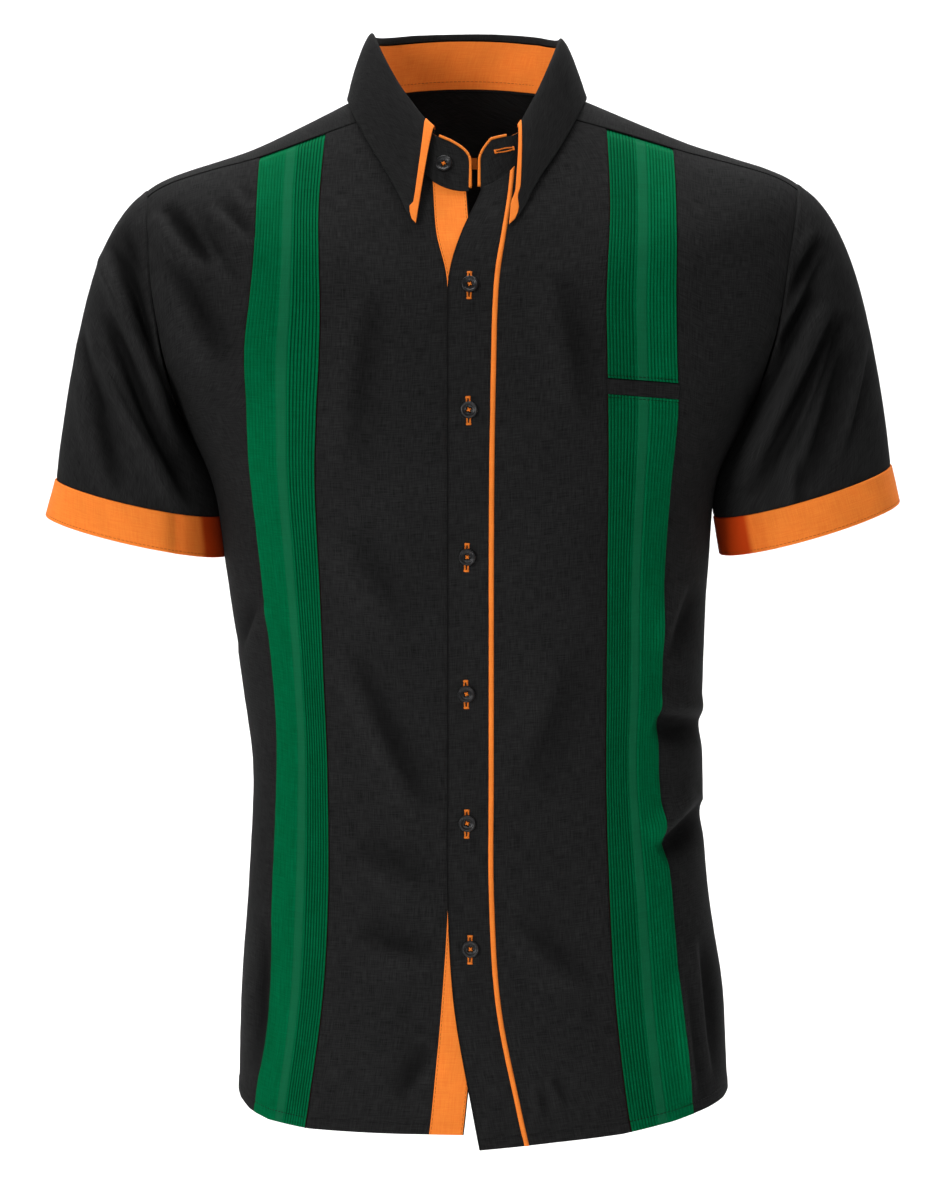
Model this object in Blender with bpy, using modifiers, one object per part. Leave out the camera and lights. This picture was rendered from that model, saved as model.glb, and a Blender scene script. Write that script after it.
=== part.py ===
# A short-sleeved guayabera shirt as worn, with nobody in it: every piece is a hollow wall of cloth.
# Metres, +Z up, the front faces -Y, +X is the wearer's left. The origin is level with the side of
# the neck, on the middle line between the shoulders, where the wearer holds the shirt up.
import math
from collections import namedtuple

import bpy
import numpy as np
from mathutils import Matrix, Vector

CLOTH = 0.0012  # wall of one piece of cloth
SEAM = 0.0003  # gap between two pieces at a seam
HALF_SEAM = SEAM / 2

# The body of the shirt is one surface. A point on it is given by a level, which is a row of this
# table or a place between two rows, and by an angle round the figure: 0 at the front, 90 degrees
# on the wearer's left, 180 at the back. Each row is one ring, seen as a squarish oval.
Section = namedtuple(
    "Section",
    "front_z side_z back_z middle_x half_width armhole_x front_y side_y back_y squareness tilt",
)
SECTIONS = [
    Section(-0.735, -0.735, -0.735, 0.0110, 0.1710, 0.171, -0.1200, 0.000, 0.110, 2.30, 0.0),
    Section(-0.690, -0.690, -0.690, 0.0110, 0.1710, 0.171, -0.1195, 0.000, 0.110, 2.30, 0.0),
    Section(-0.620, -0.620, -0.620, 0.0110, 0.1685, 0.169, -0.1165, 0.000, 0.107, 2.30, 0.0),
    Section(-0.545, -0.545, -0.545, 0.0080, 0.1600, 0.160, -0.1110, 0.000, 0.102, 2.30, 0.0),
    Section(-0.470, -0.470, -0.470, 0.0080, 0.1570, 0.157, -0.1080, 0.000, 0.099, 2.30, 0.0),
    Section(-0.410, -0.410, -0.410, 0.0040, 0.1595, 0.160, -0.1100, 0.000, 0.102, 2.30, 0.0),
    Section(-0.335, -0.330, -0.330, 0.0000, 0.1655, 0.167, -0.1180, 0.000, 0.112, 2.30, 0.0),
    Section(-0.278, -0.262, -0.262, -0.0015, 0.1750, 0.188, -0.1230, 0.001, 0.119, 2.30, 0.0),
    Section(-0.232, -0.212, -0.214, -0.0010, 0.2010, 0.201, -0.1225, 0.003, 0.120, 2.30, 0.001),
    Section(-0.192, -0.160, -0.165, 0.0010, 0.2360, 0.212, -0.1190, 0.005, 0.118, 2.30, 0.003),
    Section(-0.158, -0.108, -0.110, 0.0015, 0.2480, 0.219, -0.1140, 0.006, 0.113, 2.30, 0.005),
    Section(-0.130, -0.0605, -0.0665, 0.0040, 0.2260, 0.226, -0.1080, 0.006, 0.103, 2.30, 0.0025),
    Section(-0.103, -0.0320, -0.0290, 0.0020, 0.1480, 0.230, -0.0990, 0.003, 0.088, 2.25, 0.0025),
    Section(-0.072, 0.0045, 0.0147, -0.0005, 0.0665, 0.230, -0.0860, -0.002, 0.062, 2.20, 0.0),
]
UNDERARM, SHOULDER_TIP, NECK = 8.0, 11.0, 13.0  # levels
BACK_SEAM = 10.35  # level of the yoke's seam across the back
BACK_SEAM_GAP = 0.009  # in levels, about 0.4 mm

# Where the seams and edges on the fronts run, as X at each row above.
FrontLine = namedtuple(
    "FrontLine",
    "right_outer right_inner under_edge placket_edge piping_edge left_inner left_outer",
)
FRONT_LINES = [
    FrontLine(-0.152, -0.113, -0.0055, 0.0120, 0.0430, 0.1160, 0.1600),
    FrontLine(-0.145, -0.107, 0.0000, 0.0033, 0.0327, 0.1080, 0.1532),
    FrontLine(-0.136, -0.0975, 0.0065, -0.0088, 0.0190, 0.1000, 0.1448),
    FrontLine(-0.132, -0.0934, 0.0110, -0.0131, 0.0145, 0.0960, 0.1385),
    FrontLine(-0.1296, -0.0940, 0.0110, -0.0131, 0.0145, 0.0939, 0.1302),
    FrontLine(-0.131, -0.0960, 0.0110, -0.0131, 0.0145, 0.0943, 0.1320),
    FrontLine(-0.139, -0.0992, 0.0110, -0.0131, 0.0145, 0.0944, 0.1336),
    FrontLine(-0.1459, -0.1018, 0.0110, -0.0131, 0.0147, 0.0947, 0.1385),
    FrontLine(-0.1486, -0.1009, 0.0110, -0.0131, 0.0152, 0.0946, 0.1427),
    FrontLine(-0.150, -0.0990, 0.0110, -0.0131, 0.0160, 0.0942, 0.1416),
    FrontLine(-0.1465, -0.0985, 0.0110, -0.0131, 0.0168, 0.0937, 0.1412),
    FrontLine(-0.1438, -0.0995, 0.0095, -0.0118, 0.0187, 0.0950, 0.1420),
    FrontLine(-0.143, -0.1000, 0.0030, -0.0040, 0.0231, 0.0970, 0.1425),
    FrontLine(-0.141, -0.0940, 0.0002, 0.0103, 0.0290, 0.0950, 0.1420),
]

# The hem's height along each lower edge: X, Z.
HEM_FRONT_RIGHT = [
    (-0.160, -0.689), (-0.157, -0.694), (-0.150, -0.699), (-0.135, -0.7035),
    (-0.107, -0.7065), (0.0, -0.7075),
]
HEM_FRONT_LEFT = [
    (0.003, -0.718), (0.040, -0.7145), (0.060, -0.7125), (0.105, -0.7085),
    (0.140, -0.7025), (0.165, -0.6965), (0.177, -0.693), (0.182, -0.689),
]
HEM_BACK = [
    (-0.160, -0.689), (-0.155, -0.696), (-0.135, -0.702), (0.011, -0.704),
    (0.157, -0.702), (0.177, -0.696), (0.182, -0.689),
]

YOKE_FORWARD_AT_ARM, YOKE_FORWARD_AT_NECK = 0.032, 0.046  # front seam, ahead of the shoulder line
LOW_ROWS, HIGH_ROWS = 12, 8  # rows of faces from hem to underarm, and from there up
NECK_COLUMNS, SEAM_COLUMNS, SIDE_COLUMNS, BACK_COLUMNS = 4, 2, 6, 20

TUCKS = 9  # in each half of a green strip
TUCK_RISE = 0.0006
TUCK_CREST = 0.2  # where a tuck is highest, as a share of its pitch from its free edge
PLAIN_SHARE = 0.15  # the untucked band in the middle of a strip

WELT_TOP, WELT_HEIGHT, WELT_SLOPE = -0.2011, 0.0112, -0.055
WELT_RISE = 0.0009

UNDER_DEPTH = 0.0030  # how far the right front lies below the placket
UNDER_RAMP_START, UNDER_RAMP_WIDTH = -0.060, 0.030
UNDER_PLACKET_WIDTH, UNDER_EDGE_MARGIN, UNDER_PLACKET_WALL = 0.0210, 0.0015, 0.0010
PLACKET_RISE, PLACKET_WALL = 0.0006, 0.0018
PIPING_WIDTH, PIPING_RISE, PIPING_CREST = 0.0036, 0.0004, 0.0008

# One row a sleeve: side is +1 on the wearer's left. The cuff's rings are ovals with their long
# axis turned by tilt, lower towards the body, and with the front lower than the back by lean. The
# sleeve's curves set off outwards from the underarm by low_out and from the tip by high_out, and
# reach the cuff moving outwards by low_slant and high_slant for each metre down.
Sleeve = namedtuple(
    "Sleeve",
    "side top_x top_z bottom_x bottom_z top_half bottom_half half_depth tilt lean "
    "low_out high_out low_slant high_slant",
)
SLEEVES = {
    "right": Sleeve(-1, -0.2300, -0.2775, -0.2317, -0.3045, 0.0585, 0.0639, 0.057, 12.8, 0.13,
                    0.000, 0.128, 0.08, 0.13),
    "left": Sleeve(1, 0.2360, -0.2730, 0.2411, -0.2990, 0.0628, 0.0636, 0.057, 16.6, 0.14,
                   -0.014, 0.132, 0.20, 0.11),
}
SLEEVE_COLUMNS, SLEEVE_ROWS, CUFF_ROWS = 26, 9, 2
CUFF_RISE, CUFF_WALL = 0.0006, 0.0020
SLEEVE_CLEARANCE = 0.0004
# How far the curves set off forwards and down, and how hard they arrive at the cuff on the
# underarm's side and on the shoulder's.
SLEEVE_SWING, SLEEVE_DROP, SLEEVE_ARRIVE = 0.012, 0.070, (0.110, 0.230)

# The largest folds: soft troughs along a line from start to end, with a depth and a half width.
Fold = namedtuple("Fold", "piece start end depth width")
FOLDS = [
    Fold("right_sleeve", (-0.258, -0.045, -0.105), (-0.185, -0.055, -0.272), 0.0060, 0.013),
    Fold("right_sleeve", (-0.272, -0.035, -0.150), (-0.215, -0.058, -0.285), 0.0050, 0.012),
    Fold("right_sleeve", (-0.262, 0.050, -0.120), (-0.195, 0.060, -0.265), 0.0060, 0.014),
    Fold("left_sleeve", (0.258, -0.045, -0.100), (0.190, -0.055, -0.210), 0.0060, 0.013),
    Fold("left_sleeve", (0.272, -0.040, -0.125), (0.215, -0.060, -0.225), 0.0050, 0.012),
    Fold("left_sleeve", (0.262, 0.050, -0.120), (0.195, 0.060, -0.255), 0.0060, 0.014),
    Fold("body", (-0.212, -0.060, -0.080), (-0.165, -0.090, -0.140), 0.0045, 0.014),
    Fold("body", (-0.206, -0.055, -0.130), (-0.172, -0.080, -0.185), 0.0045, 0.014),
    Fold("body", (0.212, -0.060, -0.085), (0.170, -0.090, -0.150), 0.0040, 0.014),
    Fold("body", (-0.155, -0.045, -0.600), (-0.135, -0.075, -0.690), 0.0040, 0.012),
    Fold("body", (0.165, -0.055, -0.560), (0.172, -0.050, -0.690), 0.0050, 0.012),
    Fold("body", (-0.170, 0.060, -0.235), (-0.060, 0.105, -0.330), 0.0050, 0.018),
    Fold("body", (0.170, 0.060, -0.235), (0.060, 0.105, -0.330), 0.0050, 0.018),
    Fold("body", (-0.120, 0.080, -0.440), (0.060, 0.100, -0.470), 0.0050, 0.016),
    Fold("body", (0.130, 0.075, -0.400), (0.010, 0.100, -0.425), 0.0045, 0.015),
]

# The collar's stand is a band on the neck ring, its two front ends a few millimetres apart.
STAND_HEIGHT, STAND_END_HEIGHT, STAND_END_ROUND = 0.0345, 0.018, 0.026
STAND_END_LEFT, STAND_END_RIGHT = 0.0094, 0.0016  # X of the two ends
STAND_LIFT, STAND_NARROWING, STAND_LEAN_FRONT, STAND_LEAN_BACK = 0.0008, 0.055, 0.010, 0.002
FACING_WALL = 0.0010
STAND_PIPING_RADIUS, STAND_PIPING_GAP = 0.0010, 0.0005
STAND_PIPING_TURN = 76  # degrees of the end's quarter oval that the orange edge follows
STAND_PIPING_FEET = (0.010, 0.002)  # heights of its last two points, straight down to the neck

# The turned-down leaf, from its tip on the wearer's left round the back to the other tip: the
# angle of its fold on the stand, and the angle and level of its outer edge on the body.
LeafRow = namedtuple("LeafRow", "fold_angle edge_angle edge_level")
LEAF = [
    LeafRow(31.0, 10.5, 12.17),
    LeafRow(40.0, 24.0, 12.58),
    LeafRow(55.0, 44.0, 12.74),
    LeafRow(90.0, 88.0, 12.80),
    LeafRow(135.0, 135.0, 12.74),
    LeafRow(180.0, 180.0, 12.70),
    LeafRow(225.0, 225.0, 12.74),
    LeafRow(270.0, 272.0, 12.80),
    LeafRow(307.0, 317.0, 12.72),
    LeafRow(327.0, 335.0, 12.54),
    LeafRow(339.2, 345.5, 12.20),
]
LEAF_COLUMNS, LEAF_WALL, LEAF_CLEARANCE = 28, 0.0014, 0.0030
LEAF_ROLL_HEIGHT, LEAF_ROLL_WIDTH, LEAF_ROLL_FALL = 0.0105, 0.0095, 0.7
LEAF_ABOVE_STAND = 0.0015
LEAF_ROWS = (0.0, 0.10, 0.22, 0.38, 0.58, 0.79, 1.0)  # along the leaf, closest at the fold
TRIM_WIDTH, TRIM_WALL = 0.0050, 0.0008

BUTTON_RADIUS, BUTTON_THICK, BUTTON_STEPS = 0.00575, 0.0024, 12
# Outline of a button from its middle outwards and round to the back, as shares of its sizes.
BUTTON_OUTLINE = [(0.0, 0.62), (0.55, 0.62), (0.72, 1.0), (0.93, 0.92), (1.0, 0.5), (0.86, 0.0), (0.0, 0.0)]
BUTTONS = [(0.0021, -0.1387), (0.0015, -0.2231), (0.0004, -0.3210),
           (-0.0001, -0.4127), (0.0004, -0.4997), (0.0026, -0.5836)]  # X, Z
STAND_BUTTON_X, STAND_BUTTON_HEIGHT = -0.0155, 0.0140

Finish = namedtuple("Finish", "colour roughness")
FINISHES = {
    "black_poplin": Finish("1D1D1E", 0.85),
    "green_tucked_cloth": Finish("0A5638", 0.85),
    "orange_poplin": Finish("F0883A", 0.80),
    "black_button": Finish("161617", 0.35),
}


# ---------------------------------------------------------------- surfaces


def smooth(values, place):
    """Values at whole numbers, joined by a cubic curve with the slope of its neighbours."""
    values = np.asarray(values, float)
    slopes = np.gradient(values)
    place = np.clip(np.asarray(place, float), 0, len(values) - 1)
    k = np.minimum(place.astype(int), len(values) - 2)
    f = place - k
    return (
        values[k] * (1 + 2 * f) * (1 - f) ** 2
        + slopes[k] * f * (1 - f) ** 2
        + values[k + 1] * f * f * (3 - 2 * f)
        + slopes[k + 1] * f * f * (f - 1)
    )


def column(rows, name, place):
    return smooth([getattr(row, name) for row in rows], place)


def ring(name, level):
    return column(SECTIONS, name, level)


def body_surface(level, angle):
    """A squarish oval: x goes as sin^(2/n), y as cos^(2/n), and the height swings from the side's
    to the front's or the back's with cos squared."""
    level, angle = np.broadcast_arrays(np.asarray(level, float), np.asarray(angle, float))
    n = ring("squareness", level)
    across = np.sign(np.sin(angle)) * np.abs(np.sin(angle)) ** (2 / n)
    forward = np.abs(np.cos(angle)) ** (2 / n)
    in_front = np.cos(angle) > 0
    side_y, side_z = ring("side_y", level), ring("side_z", level)
    end_y = np.where(in_front, ring("front_y", level), ring("back_y", level))
    end_z = np.where(in_front, ring("front_z", level), ring("back_z", level))
    x = ring("middle_x", level) + ring("half_width", level) * across
    y = side_y + (end_y - side_y) * forward
    z = side_z + (end_z - side_z) * np.cos(angle) ** 2 + ring("tilt", level) * across
    return np.stack([x, y, z], -1)


def normals(surface, a, b, step=0.002):
    """Unit normals of a surface of two parameters, from the cross product of its two tangents."""
    along_a = surface(a + step, b) - surface(a - step, b)
    along_b = surface(a, b + step) - surface(a, b - step)
    normal = np.cross(along_b, along_a)
    return normal / np.linalg.norm(normal, axis=-1, keepdims=True)


def fold_depth(points, piece):
    """Depth of all folds of a piece at its points: a bell curve across each fold's line, fading
    out at the line's two ends."""
    total = np.zeros(points.shape[:-1])
    for fold in FOLDS:
        if fold.piece != piece:
            continue
        start, end = np.array(fold.start), np.array(fold.end)
        line = end - start
        along = np.clip(((points - start) @ line) / (line @ line), 0, 1)
        away = np.linalg.norm(points - start - along[..., None] * line, axis=-1)
        total += fold.depth * np.exp(-((away / fold.width) ** 2)) * np.sin(math.pi * along) ** 0.6
    return total


def body_point(level, angle, out=0.0):
    level, angle = np.broadcast_arrays(np.asarray(level, float), np.asarray(angle, float))
    points = body_surface(level, angle)
    lift = out - fold_depth(points, "body")
    return points + normals(body_surface, level, angle) * lift[..., None]


def angle_at_x(level, x):
    """The angle, on the front, where the ring at this level passes a given X."""
    offset = x - ring("middle_x", level)
    share = np.clip(np.abs(offset) / ring("half_width", level), 0, 1)
    return np.sign(offset) * np.arcsin(share ** (ring("squareness", level) / 2))


def angle_ahead(level, forward):
    """The angle where the ring's front half lies this far ahead of its sides."""
    share = forward / (ring("side_y", level) - ring("front_y", level))
    return np.arccos(np.clip(share, 0, 1) ** (ring("squareness", level) / 2))


def armhole(side, turn, face, shift=0.0):
    """(level, angle) along the armhole: turn runs from 0 at the underarm to pi at the tip."""
    turn = np.asarray(turn, float)
    level = UNDERARM + (SHOULDER_TIP - UNDERARM) * (1 - np.cos(turn)) / 2
    share = np.clip((ring("armhole_x", level) + shift) / ring("half_width", level), 0, 1)
    angle = np.arcsin(share ** (ring("squareness", level) / 2))
    if face == "back":
        angle = math.pi - angle
    return np.stack([level, side * angle], -1)


def armhole_turn(level):
    return math.acos(1 - 2 * (level - UNDERARM) / (SHOULDER_TIP - UNDERARM))


def full_turn(edge):
    """The same edge with its angles counted from 0 to 2 pi, for pieces that cross the back."""
    return np.stack([edge[..., 0], np.where(edge[..., 1] < 0, edge[..., 1] + 2 * math.pi, edge[..., 1])], -1)


def yoke_corner():
    """The turn along the armhole where the yoke's front seam meets it."""
    turns = np.linspace(math.pi / 2, math.pi, 200)
    level, angle = armhole(1, turns, "front").T
    forward = ring("side_y", level) - body_surface(level, angle)[..., 1]
    return float(np.interp(-YOKE_FORWARD_AT_ARM, -forward, turns))


CORNER_TURN = yoke_corner()
CORNER_LEVEL = float(armhole(1, CORNER_TURN, "front")[0])


def yoke_seam(side, levels, shift=0.0):
    """(level, angle) along the yoke's front seam; shift moves it forward."""
    forward = np.interp(levels, [CORNER_LEVEL, NECK], [YOKE_FORWARD_AT_ARM, YOKE_FORWARD_AT_NECK])
    return np.stack([levels, side * angle_ahead(levels, forward + shift)], -1)


def climb(bottom, top, rows_below=LOW_ROWS, rows_above=HIGH_ROWS):
    """Levels of a panel's rows, with one row exactly at the underarm."""
    below = np.linspace(bottom, UNDERARM, rows_below + 1)
    return np.concatenate([below, np.linspace(UNDERARM, top, rows_above + 1)[1:]])


def hem_level(hem, x_line):
    """The level at which a line up the front, or at a fixed angle, meets the hem."""
    levels = np.linspace(0, 2, 81)
    x, z = x_line(levels)
    return float(np.interp(0, z - np.interp(x, *np.transpose(hem)), levels))


def front_line(name, shift=0.0, other=None, share=0.0):
    """X of a line on the fronts as a function of level, or a place between two such lines."""

    def line(level):
        x = column(FRONT_LINES, name, level) + shift
        if other is not None:
            x = x + (column(FRONT_LINES, other[0], level) + other[1] - x) * share
        return x

    return line


def hem_crossing(hem, line):
    def place(levels):
        x = line(levels)
        return x, body_surface(levels, angle_at_x(levels, x))[..., 2]

    return hem_level(hem, place)


def seam_crossing(side, line, shift):
    """The level where a line up the front meets the yoke's front seam."""
    levels = np.linspace(CORNER_LEVEL, NECK, 200)
    seam = yoke_seam(side, levels, shift)
    seam_x = body_surface(levels, seam[:, 1])[:, 0]
    return float(np.interp(0, side * (line(levels) - seam_x), levels))


def yoke_neck_x(side):
    """X where the yoke's front seam reaches the neck."""
    return float(body_surface(NECK, yoke_seam(side, np.array([NECK]), HALF_SEAM)[0, 1])[0])


def along_line(line, levels):
    """(level, angle) of a line on the front at these levels."""
    return np.stack([levels, angle_at_x(levels, line(levels))], -1)


def patch(left, right, bottom, top):
    """A grid of (level, angle) between four edges, each of which it meets exactly: the blend of
    left and right, plus that of bottom and top, less that of the four corners."""
    u = np.linspace(0, 1, len(bottom))[None, :, None]
    v = np.linspace(0, 1, len(left))[:, None, None]
    corners = (1 - v) * ((1 - u) * left[0] + u * right[0]) + v * ((1 - u) * left[-1] + u * right[-1])
    return (1 - u) * left[:, None] + u * right[:, None] + (1 - v) * bottom + v * top - corners


# ---------------------------------------------------------------- objects


def linear(hex_colour):
    values = [int(hex_colour[i : i + 2], 16) / 255 for i in (0, 2, 4)]
    return [v / 12.92 if v <= 0.04045 else ((v + 0.055) / 1.055) ** 2.4 for v in values]


def material(name):
    found = bpy.data.materials.get(name)
    if found:
        return found
    finish = FINISHES[name]
    made = bpy.data.materials.new(name)
    made.use_nodes = True
    shader = made.node_tree.nodes["Principled BSDF"]
    shader.inputs["Base Color"].default_value = (*linear(finish.colour), 1)
    shader.inputs["Roughness"].default_value = finish.roughness
    shader.inputs["Metallic"].default_value = 0.0
    made.diffuse_color = (*linear(finish.colour), 1)
    return made


def add_object(name, points, faces, finish):
    mesh = bpy.data.meshes.new(name)
    mesh.from_pydata([tuple(point) for point in points], [], faces)
    mesh.shade_smooth()
    mesh.set_sharp_from_angle(angle=math.radians(40))
    mesh.materials.append(material(finish))
    piece = bpy.data.objects.new(name, mesh)
    shirt.objects.link(piece)
    return piece


def grid_faces(rows, columns, closed=False):
    last = columns if closed else columns - 1
    return [
        (r * columns + c, r * columns + (c + 1) % columns, (r + 1) * columns + (c + 1) % columns, (r + 1) * columns + c)
        for r in range(rows - 1)
        for c in range(last)
    ]


def cloth(name, points, finish, wall=CLOTH, closed=False):
    """A wall of cloth: an open sheet through the points, thickened inwards."""
    rows, columns = points.shape[:2]
    piece = add_object(name, points.reshape(-1, 3), grid_faces(rows, columns, closed), finish)
    thickness = piece.modifiers.new("wall", "SOLIDIFY")
    thickness.thickness = wall
    thickness.offset = -1
    return piece


def panel(name, grid, finish, out=0.0, wall=CLOTH):
    return cloth(name, body_point(grid[..., 0], grid[..., 1], out), finish, wall)


# ---------------------------------------------------------------- body


def side_edge(side, hem, face, top_turn):
    """A panel's edge up the side seam and round the armhole."""
    shift = -HALF_SEAM if face == "front" else HALF_SEAM
    bottom = hem_level(hem, lambda levels: body_surface(levels, side * math.pi / 2)[:, [0, 2]].T)
    levels = np.linspace(bottom, UNDERARM, LOW_ROWS + 1)
    quarter = angle_ahead(levels, HALF_SEAM)
    angles = side * (quarter if shift < 0 else math.pi - quarter)
    around = armhole(side, np.linspace(0, top_turn, HIGH_ROWS + 1)[1:], face, -HALF_SEAM)
    return np.concatenate([np.stack([levels, angles], -1), around])


def hem_edge(hem, first, last, columns):
    """Along the hem between two corners, each a (level, angle)."""
    angles = np.linspace(first[1], last[1], columns + 1)
    levels = [hem_level(hem, lambda lv, a=a: body_surface(lv, a)[:, [0, 2]].T) for a in angles]
    levels[0], levels[-1] = first[0], last[0]
    return np.stack([levels, angles], -1)


def seam_top(side, line, columns):
    """The top of a side panel: along the yoke seam from a line on the front to the armhole."""
    crossing = seam_crossing(side, line, HALF_SEAM)
    return yoke_seam(side, np.linspace(crossing, CORNER_LEVEL, columns + 1), HALF_SEAM)


def build_side_panel(name, side, hem, line_name):
    line = front_line(line_name, side * HALF_SEAM)
    levels = climb(hem_crossing(hem, line), seam_crossing(side, line, HALF_SEAM))
    strip_edge = along_line(line, levels)
    outer = side_edge(side, hem, "front", CORNER_TURN)
    top = seam_top(side, line, SIDE_COLUMNS)
    bottom = hem_edge(hem, strip_edge[0], outer[0], SIDE_COLUMNS)
    outer[-1] = top[-1]
    grid = patch(strip_edge, outer, bottom, top)
    panel(name, grid if side > 0 else grid[:, ::-1], "black_poplin")


def build_centre_panel(name, side, hem, line_name, edge_name, edge_shift, out_at=None):
    """Columns run up from the hem, the outer ones to the yoke's seam and the rest to the neck."""
    strip = (line_name, -side * HALF_SEAM)
    edge_x, strip_x = front_line(edge_name, edge_shift)(NECK), front_line(*strip)(NECK)
    corner = (yoke_neck_x(side) - edge_x) / (strip_x - edge_x)
    shares = np.concatenate(
        [np.linspace(0, corner, NECK_COLUMNS + 1), np.linspace(corner, 1, SEAM_COLUMNS + 1)[1:]]
    )
    columns = []
    for number, share in enumerate(shares):
        line = front_line(edge_name, edge_shift, strip, share)
        top = NECK if number <= NECK_COLUMNS else seam_crossing(side, line, HALF_SEAM)
        columns.append(along_line(line, climb(hem_crossing(hem, line), top)))
    grid = np.stack(columns, 1)
    if side < 0:
        grid = grid[:, ::-1]
    out = 0.0
    if out_at is not None:
        out = out_at(body_surface(grid[..., 0], grid[..., 1])[..., 0])
    panel(name, grid, "black_poplin", out)


def under_placket_sink(x):
    ramp = np.clip((x - UNDER_RAMP_START) / UNDER_RAMP_WIDTH, 0, 1)
    return -UNDER_DEPTH * ramp * ramp * (3 - 2 * ramp)


def tuck_profile():
    """Places across a strip and their heights: each tuck rises at its free edge and slopes down
    towards the plain band, about which the two halves mirror each other."""
    half = (1 - PLAIN_SHARE) / 2
    pitch = half / TUCKS
    places, heights = [], []
    for k in range(TUCKS):
        places += [k * pitch, (k + TUCK_CREST) * pitch]
        heights += [0.0, TUCK_RISE]
    places, heights = places + [half], heights + [0.0]
    mirrored = [1 - place for place in reversed(places)]
    return np.array(places + [0.5] + mirrored), np.array(heights + [0.0] + heights[::-1])


def height_crossing(line, height):
    """The level where a line up the front reaches a height."""
    levels = np.linspace(5, NECK, 400)
    z = body_surface(*along_line(line, levels).T)[:, 2]
    return float(np.interp(height, z, levels))


def strip_line(side, share):
    """A line up a strip, from its edge at lower X (share 0) to the other (share 1)."""
    low, high = ("left_inner", "left_outer") if side > 0 else ("right_outer", "right_inner")
    return front_line(low, HALF_SEAM, (high, -HALF_SEAM), share)


def welt_height(x):
    return WELT_TOP + WELT_SLOPE * (x - FRONT_LINES[9].left_inner)


def strip_column(side, share, part):
    """Levels up one column of a strip: the whole strip, or its part below or above the welt."""
    line = strip_line(side, share)
    x = float(line(UNDERARM + 1))
    if part == "upper":
        bottom = height_crossing(line, welt_height(x) + HALF_SEAM)
        levels = np.linspace(bottom, seam_crossing(side, line, HALF_SEAM), HIGH_ROWS + 1)
    else:
        bottom = hem_crossing(HEM_FRONT_LEFT if side > 0 else HEM_FRONT_RIGHT, line)
        if part == "lower":
            top = height_crossing(line, welt_height(x) - WELT_HEIGHT - HALF_SEAM)
            levels = climb(bottom, top, LOW_ROWS, 2)
        else:
            levels = climb(bottom, seam_crossing(side, line, HALF_SEAM))
    return along_line(line, levels)


def build_strip(name, side, part):
    """A loft between unlike sections: tucked outside, plain inside, with flat ends and edges."""
    places, heights = tuck_profile()
    inner_places = np.linspace(0, 1, 5)
    outer = np.stack([strip_column(side, share, part) for share in places], 1)
    inner = np.stack([strip_column(side, share, part) for share in inner_places], 1)
    outside = body_point(outer[..., 0], outer[..., 1], heights[None, :])
    inside = body_point(inner[..., 0], inner[..., 1], -CLOTH)
    rows, many, few = len(outside), len(places), len(inner_places)
    first = rows * many
    faces = grid_faces(rows, many)
    faces += [tuple(first + k for k in reversed(face)) for face in grid_faces(rows, few)]
    for r in range(rows - 1):
        a, b = r * many, first + r * few
        faces.append((a + many, b + few, b, a))
        a, b = a + many - 1, b + few - 1
        faces.append((a, b, b + few, a + many))
    top, inner_top = (rows - 1) * many, first + (rows - 1) * few
    faces.append(tuple(range(many - 1, -1, -1)) + tuple(range(first, first + few)))
    faces.append(tuple(range(top, top + many)) + tuple(range(inner_top + few - 1, inner_top - 1, -1)))
    points = np.concatenate([outside.reshape(-1, 3), inside.reshape(-1, 3)])
    return add_object(name, points, faces, "green_tucked_cloth")


def build_welt():
    """The chest pocket's black welt, across the strip on the wearer's left."""
    columns = []
    for share in np.linspace(0, 1, 6):
        line = strip_line(1, share)
        top = welt_height(float(line(UNDERARM + 1))) - HALF_SEAM
        levels = [height_crossing(line, z) for z in np.linspace(top - WELT_HEIGHT + SEAM, top, 3)]
        columns.append(along_line(line, np.array(levels)))
    panel("pocket_welt", np.stack(columns, 1), "black_poplin", WELT_RISE, CLOTH + WELT_RISE)


def build_band(name, lines, hem, finish, out, wall):
    """A band up the front opening, between lines on the front."""
    edges = [along_line(line, climb(hem_crossing(hem, line), NECK)) for line in lines]
    return panel(name, np.stack(edges, 1), finish, np.asarray(out), wall)


def build_fronts():
    for side, name, hem in ((-1, "front_right_side", HEM_FRONT_RIGHT), (1, "front_left_side", HEM_FRONT_LEFT)):
        build_side_panel(name, side, hem, "left_outer" if side > 0 else "right_outer")
    build_centre_panel("front_right_centre", -1, HEM_FRONT_RIGHT, "right_inner", "under_edge", 0.0, under_placket_sink)
    past_piping = PIPING_WIDTH + 2 * SEAM
    build_centre_panel("front_left_centre", 1, HEM_FRONT_LEFT, "left_inner", "piping_edge", past_piping)
    build_strip("tucked_strip_right", -1, "whole")
    build_strip("tucked_strip_left_upper", 1, "upper")
    build_strip("tucked_strip_left_lower", 1, "lower")
    build_welt()
    placket = [
        front_line("placket_edge", 0.0, ("piping_edge", 0.0), share) for share in (0.0, 0.5, 1.0)
    ]
    build_band("placket", placket, HEM_FRONT_LEFT, "black_poplin", PLACKET_RISE, PLACKET_WALL)
    piping = [front_line("piping_edge", SEAM + PIPING_WIDTH * share) for share in (0.0, 0.5, 1.0)]
    rises = [[PIPING_RISE, PIPING_RISE + PIPING_CREST, PIPING_RISE]]
    build_band("placket_piping", piping, HEM_FRONT_LEFT, "orange_poplin", rises, PLACKET_WALL)
    right = -UNDER_EDGE_MARGIN
    left = right - UNDER_PLACKET_WIDTH
    under = [front_line("under_edge", left + (right - left) * share) for share in (0.0, 0.5, 1.0)]
    out = UNDER_PLACKET_WALL + SEAM - UNDER_DEPTH
    build_band("under_placket", under, HEM_FRONT_RIGHT, "orange_poplin", out, UNDER_PLACKET_WALL)


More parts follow.
